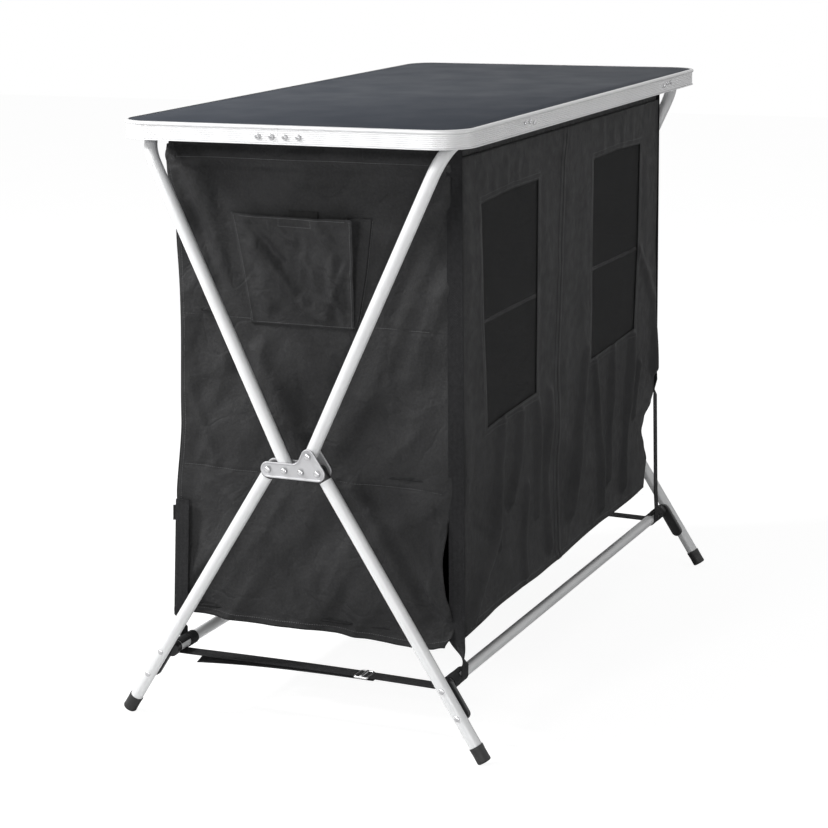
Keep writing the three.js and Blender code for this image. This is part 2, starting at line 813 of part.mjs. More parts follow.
function makeLowerTube(side, end) {
  const start = lowerPoint(side, end, lowerLeg.startPastPivot);
  const finish = lowerPoint(side, end, capEndAlong() - footCap.base - fitGap);
  const holes = fittingRivetPlaces(side, end).map((p) =>
    crossRod(p, rivet.shankRadius + rivet.clearance, tube.radius + cutOverrun));
  return cut(straightPipe(start, finish, tube.radius, tube.wall), holes);
}

// The black corner fitting: an arm on the inside of the leg and a neck with a spigot for the cross tube.
function makeFitting(side, end) {
  const armOuter = legPlane - tube.radius - fitGap;
  const armInner = armOuter - fitting.armThickness;
  const [top, down] = fittingRivetPlaces(side, end);
  const axis = new THREE.Vector2(down.y - top.y, down.z - top.z).normalize();
  const half = fitting.armWidth / 2;
  const start = axis.angle() + Math.PI / 2;
  const shape = new THREE.Shape();
  shape.absarc(top.y, top.z, half, start, start + Math.PI);
  shape.absarc(down.y, down.z, half, start + Math.PI, start + Math.PI * 2);
  const low = Math.min(end * armInner, end * armOuter);
  const arm = sidePlate(shape, low, low + fitting.armThickness, plateSteps);
  const centreY = side * crossHalfSpacing;
  const at = (x) => new THREE.Vector3(end * x, centreY, crossHeight);
  const hub = rodBetween(at(armOuter), at(armInner), fitting.hubRadius, pipeSides);
  const spigotRadius = crossTube.radius - crossTube.wall - fitGap;
  const spigotEnd = at(crossTubeEnd - fitting.spigotLength);
  const spigot = rodBetween(at(armOuter - fitGap), spigotEnd, spigotRadius, pipeSides);
  const face = legPlane + tube.radius + fitGap;
  const pins = fittingRivetPlaces(side, end).map((p) => headedPin(p, end, armInner + fitGap, face, rivet));
  return join([arm, hub, spigot, ...pins]);
}

function addFrame() {
  add('front_top_tube', makeTopTube(-1, [0, bracket.lobeDistance]), 'tubeCoat');
  add('rear_top_tube', makeTopTube(1, [0]), 'tubeCoat');
  for (const [name, end] of [['near', -1], ['far', 1]]) {
    add(`bracket_outer_${name}`, makeOuterPlate(end), 'plate');
    add(`bracket_inner_${name}`, makeInnerPlate(end), 'plate');
    const place = bracketPlaces(end);
    const grip = plateOuter + fitGap;
    add(`rivet_rear_leg_${name}`, rivetBetween(place.rearLeg, grip, grip, rivet), 'rivetAlloy');
    add(`rivet_rear_top_${name}`, rivetBetween(place.rearTop, grip, grip, rivet), 'rivetAlloy');
    for (const [sideName, side] of [['front', -1], ['rear', 1]]) {
      add(`leg_${sideName}_${name}`, makeLowerTube(side, end), 'tubeCoat');
      add(`knuckle_${sideName}_${name}`, makeKnuckle(side, end), 'blackPlastic');
      add(`foot_cap_${sideName}_${name}`, makeFootCap(side, end), 'rubber');
      add(`corner_fitting_${sideName}_${name}`, makeFitting(side, end), 'blackPlastic');
    }
  }
  for (const [sideName, side] of [['front', -1], ['rear', 1]]) {
    const near = new THREE.Vector3(-crossTubeEnd, side * crossHalfSpacing, crossHeight);
    const far = new THREE.Vector3(crossTubeEnd, side * crossHalfSpacing, crossHeight);
    add(`cross_tube_${sideName}`, straightPipe(near, far, crossTube.radius, crossTube.wall), 'tubeCoat');
  }
}

// Cloth

// A sheet of cloth as a closed solid: place(u, v) gives its middle, push its half thickness outward.
function sheet(columns, rows, place, push) {
  const points = [];
  for (const sign of [1, -1]) {
    for (let j = 0; j <= rows; j += 1) {
      for (let i = 0; i <= columns; i += 1) {
        points.push(place(i / columns, j / rows).addScaledVector(push, sign));
      }
    }
  }
  const width = columns + 1;
  const layer = width * (rows + 1);
  const index = [];
  for (let j = 0; j < rows; j += 1) {
    for (let i = 0; i < columns; i += 1) {
      const a = j * width + i;
      const [b, c, d] = [a + 1, a + 1 + width, a + width];
      index.push(a, b, c, a, c, d);
      index.push(layer + a, layer + c, layer + b, layer + a, layer + d, layer + c);
    }
  }
  const rim = [];
  for (let i = 0; i < columns; i += 1) rim.push(i);
  for (let j = 0; j < rows; j += 1) rim.push(j * width + columns);
  for (let i = columns; i > 0; i -= 1) rim.push(rows * width + i);
  for (let j = rows; j > 0; j -= 1) rim.push(j * width);
  rim.forEach((a, k) => {
    const b = rim[(k + 1) % rim.length];
    index.push(a, layer + a, layer + b, a, layer + b, b);
  });
  const geometry = new THREE.BufferGeometry().setFromPoints(points);
  geometry.setIndex(index);
  return outward(geometry);
}

// A smooth hump that is 1 at the middle and 0 beyond half its span.
function hump(value, middle, span) {
  const d = Math.abs(value - middle) / (span / 2);
  return d >= 1 ? 0 : Math.cos(d * Math.PI / 2) ** 2;
}

// A value between listed shares of a height, eased from one to the next.
function eased(share, stops) {
  for (let i = 0; i + 1 < stops.length; i += 1) {
    const [a, b] = [stops[i], stops[i + 1]];
    if (share <= b[0]) {
      const t = (share - a[0]) / (b[0] - a[0]);
      return a[1] + (b[1] - a[1]) * t * t * (3 - 2 * t);
    }
  }
  return stops[stops.length - 1][1];
}

// The rear edge of the cabinet: drawn in below the top tube and let out towards the cross tube.
function rearEdge(z) {
  const share = (z - cabinet.endBottom) / (cabinet.endTop - cabinet.endBottom);
  return cabinet.halfDepth + cabinet.rearFlare * eased(share, rearFlareShares);
}

// How far the end panel's front edge gapes from its tape near the bottom.
function frontGape(z) {
  return endFold.gape * hump(z, gapeHeight, endFold.gapeSpan);
}

// 0 behind the pocket, where the wall lies flat, rising to 1 away from it.
function awayFromPocket(y, z) {
  const middleY = (pocket.rear + pocket.front - pocket.gusset) / 2;
  const halfY = (pocket.rear - pocket.front + pocket.gusset) / 2 + pocket.easing;
  const middleZ = pocketTop - pocket.height / 2;
  const halfZ = pocket.height / 2 + pocket.easing;
  const outside = Math.max(Math.abs(y - middleY) - halfY, Math.abs(z - middleZ) - halfZ);
  return Math.min(1, Math.max(0, outside / pocket.easing));
}

function endPanel(end) {
  const baseX = end < 0 ? cabinet.nearX : cabinet.farX;
  const place = (u, v) => {
    const z = cabinet.endBottom + (cabinet.endTop - cabinet.endBottom) * v;
    const front = -cabinet.halfDepth - cloth.thickness + frontGape(z);
    const y = front + (rearEdge(z) - front) * u;
    const corner = Math.max(0, 1 - (y + cabinet.halfDepth) / endFold.cornerReach);
    const lift = endFold.cornerLift * corner ** 2 * Math.max(0, 1 - v / flapShare);
    const down = (cabinet.endTop - z) * endFold.dragSlope;
    const drag = hump(y + down, cabinet.halfDepth - endFold.dragStart, endFold.dragPitch)
      + hump(y - down, endFold.dragStart - cabinet.halfDepth, endFold.dragPitch);
    const flat = end < 0 ? awayFromPocket(y, z) : 1;
    const fade = Math.sin(Math.PI * u) ** 2 * Math.sin(Math.PI * v) * flat;
    const crease = [cabinet.upperShelfZ, cabinet.lowerShelfZ]
      .reduce((sum, shelf) => sum + hump(z, shelf, endFold.creaseSpan), 0);
    const curl = endFold.flapCurl * hump(z, gapeHeight, endFold.gapeSpan) ** 4 * corner;
    const out = endFold.dragDepth * drag * fade + endFold.creaseDepth * crease * fade + curl;
    return new THREE.Vector3(baseX + end * (cloth.thickness / 2 + out), y, z + lift);
  };
  return sheet(endFold.columns, endFold.rows, place, new THREE.Vector3(cloth.thickness / 2, 0, 0));
}

function seamAt(share) {
  return cabinet.dividerX + cabinet.seamLead + cabinet.seamLean * eased(share, seamShares);
}

// A door hangs from the header with gathers that open towards its hem.
function door(leftAt, rightAt) {
  const place = (u, v) => {
    const left = leftAt(v);
    const x = left + (rightAt(v) - left) * u;
    const along = (x - cabinet.nearX) / (cabinet.farX - cabinet.nearX);
    const bottom = cabinet.doorBottom + cabinet.hemRise * along;
    const z = bottom + (cabinet.doorTop - bottom) * v;
    const wave = (1 - Math.cos(2 * Math.PI * doorFold.gathers * u)) / 2;
    const swell = doorFold.hemSwell * Math.sin(Math.PI * u) * (1 - v);
    const out = doorFold.depth * wave * Math.min(1, (1 - v) * doorFold.opening) + swell;
    return new THREE.Vector3(x, -cabinet.halfDepth - cloth.thickness / 2 - out, z);
  };
  return sheet(doorFold.columns, doorFold.rows, place, new THREE.Vector3(0, cloth.thickness / 2, 0));
}

function addDoors() {
  const nearEdge = () => cabinet.nearX + fitGap;
  const farEdge = (share) => cabinet.farX - fitGap - cabinet.farRetreat * eased(share, farRetreatShares);
  add('door_near', door(nearEdge, (share) => seamAt(share) - cabinet.seamGap / 2), 'canvas');
  add('door_far', door((share) => seamAt(share) + cabinet.seamGap / 2, farEdge), 'canvas');
}

// Sleeve round a top tube with a tail that hangs down into the cabinet wall.
function sleeve(side) {
  const inner = cabinet.nearX + fitGap;
  const outer = cabinet.farX - fitGap;
  const y = side * runHalfSpacing;
  const low = new THREE.Vector3(inner, y, runHeight);
  const high = new THREE.Vector3(outer, y, runHeight);
  const wall = side * cabinet.halfDepth;
  const skin = side * (cabinet.halfDepth + cloth.thickness);
  const reach = Math.sqrt(sleeveRadius ** 2 - (runHalfSpacing - cabinet.halfDepth) ** 2);
  const flap = boxBetween(
    new THREE.Vector3(inner, Math.min(wall, skin), cabinet.doorTop + cabinet.headerGap),
    new THREE.Vector3(outer, Math.max(wall, skin), runHeight - reach));
  const margin = new THREE.Vector3(cutOverrun, 0, 0);
  const boreRadius = tube.radius + cloth.sleeveGap;
  const bore = rodBetween(low.clone().sub(margin), high.clone().add(margin), boreRadius, pipeSides);
  return cut(join([rodBetween(low, high, sleeveRadius, pipeSides), flap]), [bore]);
}

function backPanel() {
  const left = cabinet.nearX + fitGap;
  const right = cabinet.farX - fitGap;
  const place = (u, v) => {
    const z = cabinet.endBottom + (cabinet.doorTop - cabinet.endBottom) * v;
    const wave = (1 - Math.cos(2 * Math.PI * backFold.gathers * u)) / 2;
    const out = backFold.depth * wave * Math.sqrt(1 - v);
    return new THREE.Vector3(left + (right - left) * u, rearEdge(z) + cloth.thickness / 2 + out, z);
  };
  return sheet(backFold.columns, backFold.rows, place, new THREE.Vector3(0, cloth.thickness / 2, 0));
}

// A flat slab of stiffened cloth, held off the walls by the fit gap.
function slab(lowX, highX, z) {
  const half = cabinet.shelfThickness / 2;
  return boxBetween(
    new THREE.Vector3(lowX + fitGap, -cabinet.halfDepth + fitGap, z - half),
    new THREE.Vector3(highX - fitGap, rearEdge(z) - cabinet.slabBack, z + half));
}

function addInside() {
  const half = cabinet.shelfThickness / 2;
  const nearSide = cabinet.dividerX - half;
  const farSide = cabinet.dividerX + half;
  for (const [name, z] of [['lower', cabinet.lowerShelfZ], ['upper', cabinet.upperShelfZ]]) {
    add(`shelf_${name}_near`, slab(cabinet.nearX, nearSide, z), 'lining');
    add(`shelf_${name}_far`, slab(farSide, cabinet.farX, z), 'lining');
  }
  add('cabinet_floor', slab(cabinet.nearX, cabinet.farX, cabinet.floorZ), 'lining');
  add('divider', boxBetween(
    new THREE.Vector3(nearSide, -cabinet.halfDepth + fitGap, cabinet.floorZ + half + fitGap),
    new THREE.Vector3(farSide, cabinet.halfDepth - cabinet.dividerBack, cabinet.dividerTop)), 'lining');
}

// The patch pocket as an open-topped bag that leans out towards its front top corner.
function makePocket() {
  const back = cabinet.nearX - cloth.thickness - fitGap;
  const ring = (z, depthRear, depthFront, inset, rise) => [
    new THREE.Vector3(back - inset, pocket.rear - inset, z + rise),
    new THREE.Vector3(back - depthRear + inset, pocket.rear - inset, z + rise),
    new THREE.Vector3(back - depthFront + inset, pocket.front + inset, z + rise),
    new THREE.Vector3(back - inset, pocket.front - pocket.gusset + inset, z + rise),
  ];
  const caps = [[0, 1, 2], [0, 2, 3]];
  const deep = [pocket.depthRear, pocket.depthFront];
  const shallow = [pocket.bottomDepthRear, pocket.bottomDepthFront];
  const outer = loft([ring(pocketBottom, ...shallow, 0, 0), ring(pocketTop, ...deep, 0, 0)], caps);
  const hollow = loft([ring(pocketBottom, ...shallow, pocket.wall, pocket.wall),
    ring(pocketTop, ...deep, pocket.wall, cutOverrun)], caps);
  return cut(outer, [hollow]);
}

// A flat strap through stations, each with its middle, its width direction and its face direction.
function ribbon(stations, width, thickness) {
  const rings = stations.map(({ at, across, face }) => [[-1, -1], [1, -1], [1, 1], [-1, 1]].map(([a, b]) =>
    at.clone().addScaledVector(across, a * width / 2).addScaledVector(face, b * thickness / 2)));
  return loft(rings, [[0, 1, 2], [0, 2, 3]]);
}

// Stations of a strap turning round a cross tube, by angle from below and outward.
function turnStations(side, x, thickness, from, turn, steps) {
  const radius = crossTube.radius + fitGap + thickness / 2;
  const across = new THREE.Vector3(1, 0, 0);
  return Array.from({ length: steps + 1 }, (_, i) => {
    const a = from + turn * i / steps;
    const face = new THREE.Vector3(0, side * Math.sin(a), -Math.cos(a));
    const at = new THREE.Vector3(x, side * crossHalfSpacing, crossHeight).addScaledVector(face, radius);
    return { at, across, face };
  });
}

// A corner tape: flat on the end wall, from the top in front and from low down at the rear, then
// twisted below the hem and turned round the cross tube.
function cornerTape(side, end) {
  const topY = cabinet.halfDepth - (side < 0 ? tape.width / 2 : tape.rearInset);
  const hemY = side < 0 ? topY : crossHalfSpacing + tape.rearSpread;
  const twistTop = crossHeight + (side < 0 ? tape.frontTwistRise : tape.rearTwistRise);
  const twistEnd = crossHeight + tape.twistEndRise;
  const wallX = end < 0 ? cabinet.nearX : cabinet.farX;
  const x = wallX + end * (cloth.thickness + tape.standOff + tape.thickness / 2);
  const across = new THREE.Vector3(0, 1, 0);
  const face = new THREE.Vector3(-1, 0, 0);
  const frontHeights = [tableHeight - tape.topDrop, crossHeight + tape.kneeRise];
  const heights = side < 0 ? frontHeights : [crossHeight + tape.rearRise];
  const stations = heights.map((z) => ({ at: new THREE.Vector3(x, side * topY, z), across, face }));
  const lowY = crossHalfSpacing + crossTube.radius + fitGap + tape.thickness / 2;
  const lowX = wallX + end * tape.lowOffset;
  for (let i = 0; i <= twistSteps; i += 1) {
    const t = i / twistSteps;
    const a = t * Math.PI / 2;
    const y = hemY + (lowY - hemY) * t;
    const z = twistTop + (twistEnd - twistTop) * t;
    stations.push({
      at: new THREE.Vector3(x + (lowX - x) * t, side * y, z),
      across: new THREE.Vector3(Math.sin(a), Math.cos(a), 0),
      face: new THREE.Vector3(-Math.cos(a), Math.sin(a), 0),
    });
  }
  const loop = turnStations(side, lowX, tape.thickness, Math.PI / 2, -tape.turn, spreader.turnSteps);
  for (const station of loop) {
    station.face.multiplyScalar(side);
    stations.push(station);
  }
  return ribbon(stations, tape.width, tape.thickness);
}

// The strap that keeps the two cross tubes from spreading, with its loose tail underneath.
function makeSpreader(end) {
  const x = end * spreaderX;
  const front = turnStations(-1, x, spreader.thickness, spreader.turn, -spreader.turn, spreader.turnSteps);
  const rear = turnStations(1, x, spreader.thickness, 0, spreader.turn, spreader.turnSteps);
  const strap = ribbon([...front, ...rear], spreader.width, spreader.thickness);
  const low = crossHeight - crossTube.radius - fitGap - spreader.thickness - tail.thickness / 2;
  const tailStations = Array.from({ length: spreader.turnSteps + 1 }, (_, i) => {
    const t = i / spreader.turnSteps;
    const y = crossHalfSpacing * (tail.startShare + (tail.endShare - tail.startShare) * t);
    const z = low + tail.rootOverlap - tail.sag * t ** 2;
    return {
      at: new THREE.Vector3(x, y, z),
      across: new THREE.Vector3(1, 0, 0),
      face: new THREE.Vector3(0, 0, 1),
    };
  });
  return join([strap, ribbon(tailStations, spreader.width - tail.inset, tail.thickness)]);
}

// A slide buckle: two end bars and a middle bar above and below the strap, joined by two side rails.
function makeBuckle(end) {
  const x = end * spreaderX;
  const top = crossHeight - crossTube.radius;
  const bottom = top - spreader.thickness - tail.thickness - fitGap * 3;
  const half = buckle.length / 2;
  const y = crossHalfSpacing * buckle.shareOut;
  const inner = spreader.width / 2 + fitGap;
  const block = (halfX, halfY, low, high) => boxBetween(
    new THREE.Vector3(x - halfX, y - halfY, low), new THREE.Vector3(x + halfX, y + halfY, high));
  const body = block(buckle.width / 2, half, bottom - buckle.wall, top + buckle.wall);
  const channel = block(inner, half + cutOverrun, bottom, top);
  const slotLength = (buckle.length - buckle.bar * 3) / 2;
  const slotLow = bottom - buckle.wall - cutOverrun;
  const slotHigh = top + buckle.wall + cutOverrun;
  const slots = [-1, 1].map((sign) =>
    block(inner, slotLength / 2, slotLow, slotHigh).translate(0, sign * (buckle.bar + slotLength) / 2, 0));
  return cut(body, [channel, ...slots]);
}

function addCloth() {
  add('header_front', sleeve(-1), 'canvas');
  add('header_rear', sleeve(1), 'canvas');
  add('wall_rear', backPanel(), 'canvas');
  add('wall_near', endPanel(-1), 'canvas');
  add('wall_far', endPanel(1), 'canvas');
  addDoors();
  addInside();
  add('pocket', makePocket(), 'canvas');
  for (const [endName, end] of [['near', -1], ['far', 1]]) {
    for (const [sideName, side] of [['front', -1], ['rear', 1]]) {
      add(`corner_tape_${sideName}_${endName}`, cornerTape(side, end), 'webbing');
    }
    add(`spreader_strap_${endName}`, makeSpreader(end), 'webbing');
    add(`strap_buckle_${endName}`, makeBuckle(end), 'rivetAlloy');
  }
}

addTableTop();
addFrame();
addCloth();

export default part;
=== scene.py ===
"""Folding camping cupboard: a rail-edged table top on a folding tube frame, with a cloth cabinet
hung between the two top tubes. Places are in millimetres in the frame's axes and become metres
where a mesh is made. near is the -X end, far the +X end, front is -Y, rear +Y."""

import math

import bmesh
import bpy
import numpy as np
from mathutils import Matrix


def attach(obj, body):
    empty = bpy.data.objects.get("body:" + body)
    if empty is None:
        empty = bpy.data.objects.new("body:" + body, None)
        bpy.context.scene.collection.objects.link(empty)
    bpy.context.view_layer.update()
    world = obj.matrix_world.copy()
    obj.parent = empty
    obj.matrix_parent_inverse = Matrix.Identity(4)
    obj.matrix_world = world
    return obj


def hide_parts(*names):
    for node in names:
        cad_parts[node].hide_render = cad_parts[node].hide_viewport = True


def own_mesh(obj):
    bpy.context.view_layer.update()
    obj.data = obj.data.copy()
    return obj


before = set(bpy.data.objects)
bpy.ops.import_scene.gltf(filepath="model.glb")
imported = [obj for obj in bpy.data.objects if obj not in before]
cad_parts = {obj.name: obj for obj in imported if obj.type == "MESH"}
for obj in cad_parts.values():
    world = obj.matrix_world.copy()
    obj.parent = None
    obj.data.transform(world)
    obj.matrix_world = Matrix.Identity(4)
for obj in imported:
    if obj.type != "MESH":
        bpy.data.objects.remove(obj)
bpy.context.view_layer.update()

MM = 0.001

# Sizes shared with the frame, in millimetres and radians.
TOP_HALF = (525.0, 256.0)
HEIGHT = 846.0
BOARD_TOP, BOARD_LOW = 845.2, 837.2
RAIL_HEIGHT, RAIL_FLANGE, CORNER = 25.5, 5.0, 50.0
LEG_X, RUN_Y, RUN_Z, RUN_BEND = 499.0, 223.0, 826.4, 46.0
BRACKET_Z, PIVOT_IN, PIVOT_OUT = 377.8, 12.3, 36.9
UPPER_TILT = math.atan2(RUN_Y - PIVOT_IN, RUN_Z - BRACKET_Z)
LOWER_TILT = math.atan2(274.0 - PIVOT_OUT, BRACKET_Z)
TUBE, WALL = 9.0, 1.2
CROSS, CROSS_Z = 8.0, 94.0
CROSS_Y = PIVOT_OUT + math.tan(LOWER_TILT) * (BRACKET_Z - CROSS_Z) - 7.1
CROSS_END = 472.7
SPLICE_Y, SPLICE_Z = 5.5, 830.5
CLIP_X = (-279.0, 345.0)
NEAR_X, FAR_X, HALF_Y = -430.0, 412.0, 214.0
FRONT = HALF_Y + 2.0
DOOR_TOP, DOOR_LOW, END_TOP, END_LOW = 801.0, 155.0, 818.5, 132.0
FLOOR_Z, LOW_SHELF, TOP_SHELF, DIVIDER_X = 146.0, 360.0, 575.0, -50.0
SPREAD_X = 457.0

ENDS = (("near", -1), ("far", 1))
SIDES = (("front", -1), ("rear", 1))
soft = []


# Materials

class Look:
    """One procedural material. Inputs of a node take a number, a colour or another node's output."""

    def __init__(self, name, **sockets):
        self.material = bpy.data.materials.new(name)
        self.material.use_nodes = True
        self.tree = self.material.node_tree
        self.shader = self.tree.nodes["Principled BSDF"]
        for key, value in sockets.items():
            self.shader.inputs[key.replace("_", " ")].default_value = value

    def node(self, kind, inputs, out=0, **settings):
        node = self.tree.nodes.new("ShaderNode" + kind)
        for key, value in settings.items():
            setattr(node, key, value)
        for key, value in inputs.items():
            self.feed(node.inputs[key], value)
        return node.outputs[out]

    def feed(self, socket, value):
        if isinstance(value, bpy.types.NodeSocket):
            self.tree.links.new(value, socket)
        else:
            socket.default_value = value

    def math(self, kind, a, b=0.0, clamp=False):
        return self.node("Math", {0: a, 1: b}, operation=kind, use_clamp=clamp)

    def place(self, scale, source="Object"):
        """The piece's own coordinates, stretched by scale in x, y and z."""
        coordinates = self.tree.nodes.new("ShaderNodeTexCoord").outputs[source]
        return self.node("Mapping", {"Vector": coordinates, "Scale": scale})

    def noise(self, scale, detail=2.0, stretch=(1, 1, 1), roughness=0.5, source="Object"):
        return self.node("TexNoise", {"Vector": self.place(stretch, source), "Scale": scale,
                                      "Detail": detail, "Roughness": roughness})

    def span(self, value, low, high, from_low=0.3, from_high=0.7):
        """A value between from_low and from_high carried to low and high."""
        return self.node("MapRange", {"Value": value, "From Min": from_low, "From Max": from_high,
                                      "To Min": low, "To Max": high})

    def tint(self, value, dark, light):
        """A colour between dark and light as the value goes from 0 to 1."""
        return self.node("Mix", {0: value, 6: (*dark, 1), 7: (*light, 1)}, out=2, data_type="RGBA")

    def bump(self, height, distance, strength=1.0, below=None):
        inputs = {"Height": height, "Distance": distance, "Strength": strength}
        if below is not None:
            inputs["Normal"] = below
        return self.node("Bump", inputs)

    def set(self, **sockets):
        for key, value in sockets.items():
            self.feed(self.shader.inputs[key.replace("_", " ")], value)
        return self.material

    def stripes(self, axis, period):
        """A wave along one UV axis, from -1 to 1, that repeats every period in metres."""
        split = self.node("SeparateXYZ", {0: self.tree.nodes.new("ShaderNodeTexCoord").outputs["UV"]}, out=axis)
        return self.math("SINE", self.math("MULTIPLY", split, 2 * math.pi / period))


def cloth_look(name, dark, light, weave, roughness, relief=1.0):
    """Coated plain weave: a broad mottling in colour that is painted shade for soft fold shading, a finer uneven tone
    of the cloth's own, fine thread bumps from the UV map, and lint.
    """
    look = Look(name, Specular_IOR_Level=0.12)
    # Painted shade: the broad noise (scale 9) darkens and lightens the colour in place of soft cloudy fold shading; the
    # fine noise (scale 320) is the cloth's own uneven tone.
    tone_and_painted_shade = look.math("ADD", look.math("MULTIPLY", look.noise(9, 4), 0.6),
                       look.math("MULTIPLY", look.noise(320, 3), 0.4))
    threads = look.math("MULTIPLY", look.stripes(0, weave), look.stripes(1, weave))
    height = look.math("ADD", look.math("MULTIPLY", threads, 0.5), look.noise(1500, 2))
    bend = look.node("TexNoise", {"Vector": look.place((1, 1, 1)), "Scale": 13.0, "Detail": 3.0, "Distortion": 0.7})
    crease = look.span(look.math("ABSOLUTE", look.math("SUBTRACT", bend, 0.5)), 0, 1, 0.0, 0.05)
    lifted = look.bump(crease, 0.0022 * relief, 0.6, look.bump(look.noise(24, 4, roughness=0.6), 0.018 * relief, 0.7))
    return look.set(Base_Color=look.tint(look.span(tone_and_painted_shade, 0, 1, 0.38, 0.62), dark, light),
                    Roughness=look.span(look.noise(60, 3), roughness - 0.07, roughness + 0.07),
                    Normal=look.bump(height, 0.00018, 0.8, lifted))


def webbing_look():
    """Woven webbing: herringbone ribs slanting one way and the other in bands across the width."""
    look = Look("strap webbing", Sheen_Weight=0.04, Roughness=0.8, Specular_IOR_Level=0.14)
    uv = look.tree.nodes.new("ShaderNodeTexCoord").outputs["UV"]
    along = look.node("SeparateXYZ", {0: uv}, out=0)
    across = look.node("SeparateXYZ", {0: uv}, out=1)
    zigzag = look.math("PINGPONG", across, 0.0036)
    phase = look.math("MULTIPLY", look.math("ADD", along, zigzag), 2 * math.pi / 0.0021)
    rib = look.math("SINE", phase)
    shade = look.math("ADD", look.math("MULTIPLY", rib, 0.35), look.noise(260, 3))
    return look.set(Base_Color=look.tint(look.span(shade, 0, 1, 0.2, 0.9), (0.006, 0.006, 0.0065), (0.024, 0.024, 0.0255)),
                    Normal=look.bump(rib, 0.0003, 0.9))


def net_look():
    """Dark window net: threads cover the lines of a fine square grid and leave holes between."""
    look = Look("window net", Roughness=0.8, Specular_IOR_Level=0.12)
    warp = look.math("GREATER_THAN", look.stripes(0, 0.0013), 0.6)
    weft = look.math("GREATER_THAN", look.stripes(1, 0.0013), 0.6)
    cover = look.math("MAXIMUM", warp, weft)
    return look.set(Base_Color=look.tint(look.noise(40, 3), (0.023, 0.023, 0.0235), (0.032, 0.032, 0.0325)),
                    Alpha=look.span(cover, 0.22, 1.0, 0.0, 1.0))


def laminate_look():
    """Satin laminate: close dark and light flecks along the board, and a slow change in sheen."""
    look = Look("top laminate", Specular_IOR_Level=0.03)
    grain = look.noise(60, 5, (1.2, 9, 9), 0.6)
    fleck = look.noise(900, 2)
    shade = look.math("ADD", look.math("MULTIPLY", grain, 0.5), look.math("MULTIPLY", fleck, 0.5))
    return look.set(Base_Color=look.tint(look.span(shade, 0, 1), (0.031, 0.0365, 0.047), (0.037, 0.043, 0.0555)),
                    Roughness=look.span(look.noise(14, 3), 0.52, 0.60),
                    Normal=look.bump(fleck, 0.00006, 0.5))


def metal_look(name, dark, light, metallic, roughness, streak=(1, 1, 1), coat=0.0, relief=0.00006):
    """Satin metal or enamel: fine streaks in roughness and height, and faint clouding in colour."""
    look = Look(name, Metallic=metallic, Coat_Weight=coat, Coat_Roughness=0.25)
    cloud = look.noise(16, 4)
    streaks = look.noise(420, 3, streak)
    rough = look.math("ADD", look.math("MULTIPLY", cloud, 0.5), look.math("MULTIPLY", streaks, 0.5))
    return look.set(Base_Color=look.tint(look.span(cloud, 0, 1), dark, light),
                    Roughness=look.span(rough, roughness - 0.06, roughness + 0.06),
                    Normal=look.bump(streaks, relief, 0.5))


def plastic_look(name, dark, light, roughness, grain):
    """Moulded plastic: a pebbled grain in height, paler where it is rubbed."""
    look = Look(name, Specular_IOR_Level=0.45)
    pebble = look.node("TexVoronoi", {"Vector": look.place((1, 1, 1)), "Scale": grain})
    return look.set(Base_Color=look.tint(look.span(look.noise(50, 4), 0, 1), dark, light),
                    Roughness=look.span(look.noise(120, 3), roughness - 0.08, roughness + 0.08),
                    Normal=look.bump(pebble, 0.0001, 0.6))


CANVAS = cloth_look("cabinet cloth", (0.019, 0.019, 0.0196), (0.029, 0.029, 0.0298), 0.0009, 0.58, 0.45)
DOOR_CLOTH = cloth_look("door cloth", (0.019, 0.019, 0.0196), (0.028, 0.028, 0.0288), 0.0009, 0.58, 0.22)
LINING = cloth_look("shelf cloth", (0.014, 0.014, 0.0145), (0.020, 0.020, 0.0205), 0.0011, 0.8)
NET = net_look()
WEBBING = webbing_look()
LAMINATE = laminate_look()
ALLOY = metal_look("edge alloy", (0.66, 0.66, 0.665), (0.70, 0.70, 0.705), 0.55, 0.5, relief=0.00001)
ENAMEL = metal_look("tube enamel", (0.66, 0.665, 0.67), (0.71, 0.715, 0.72), 0.08, 0.42, coat=0.08, relief=0.00001)
STEEL = metal_look("bracket enamel", (0.40, 0.40, 0.41), (0.48, 0.48, 0.49), 0.5, 0.4)
BRIGHT = metal_look("rivet alloy", (0.50, 0.50, 0.51), (0.60, 0.60, 0.61), 0.9, 0.2)
BUCKLE = metal_look("buckle steel", (0.62, 0.62, 0.63), (0.72, 0.72, 0.73), 0.9, 0.28, (12, 1, 1))
PLASTIC = plastic_look("black plastic", (0.010, 0.010, 0.011), (0.018, 0.018, 0.019), 0.42, 1100)
RUBBER = plastic_look("foot rubber", (0.008, 0.008, 0.008), (0.017, 0.017, 0.017), 0.58, 700)
THREAD = cloth_look("sewing thread", (0.13, 0.13, 0.133), (0.20, 0.20, 0.205), 0.0006, 0.7)
EDGING = cloth_look("shelf edging", (0.75, 0.75, 0.76), (0.85, 0.85, 0.86), 0.0012, 0.75, 0.1)
HOOKS = plastic_look("hook tape", (0.003, 0.003, 0.003), (0.010, 0.010, 0.010), 0.9, 700)


# Meshes

def unit(vector):
    vector = np.asarray(vector, float)
    return vector / np.linalg.norm(vector, axis=-1, keepdims=True)


def quads_of(rows, columns, wrap_rows=False, wrap_columns=False):
    """The four-cornered faces of a grid of points listed row after row; a wrapped side closes."""
    r, c = np.meshgrid(np.arange(rows - (not wrap_rows)), np.arange(columns - (not wrap_columns)), indexing="ij")
    r2, c2 = (r + 1) % rows, (c + 1) % columns
    return np.stack([r * columns + c, r * columns + c2, r2 * columns + c2, r2 * columns + c], -1)


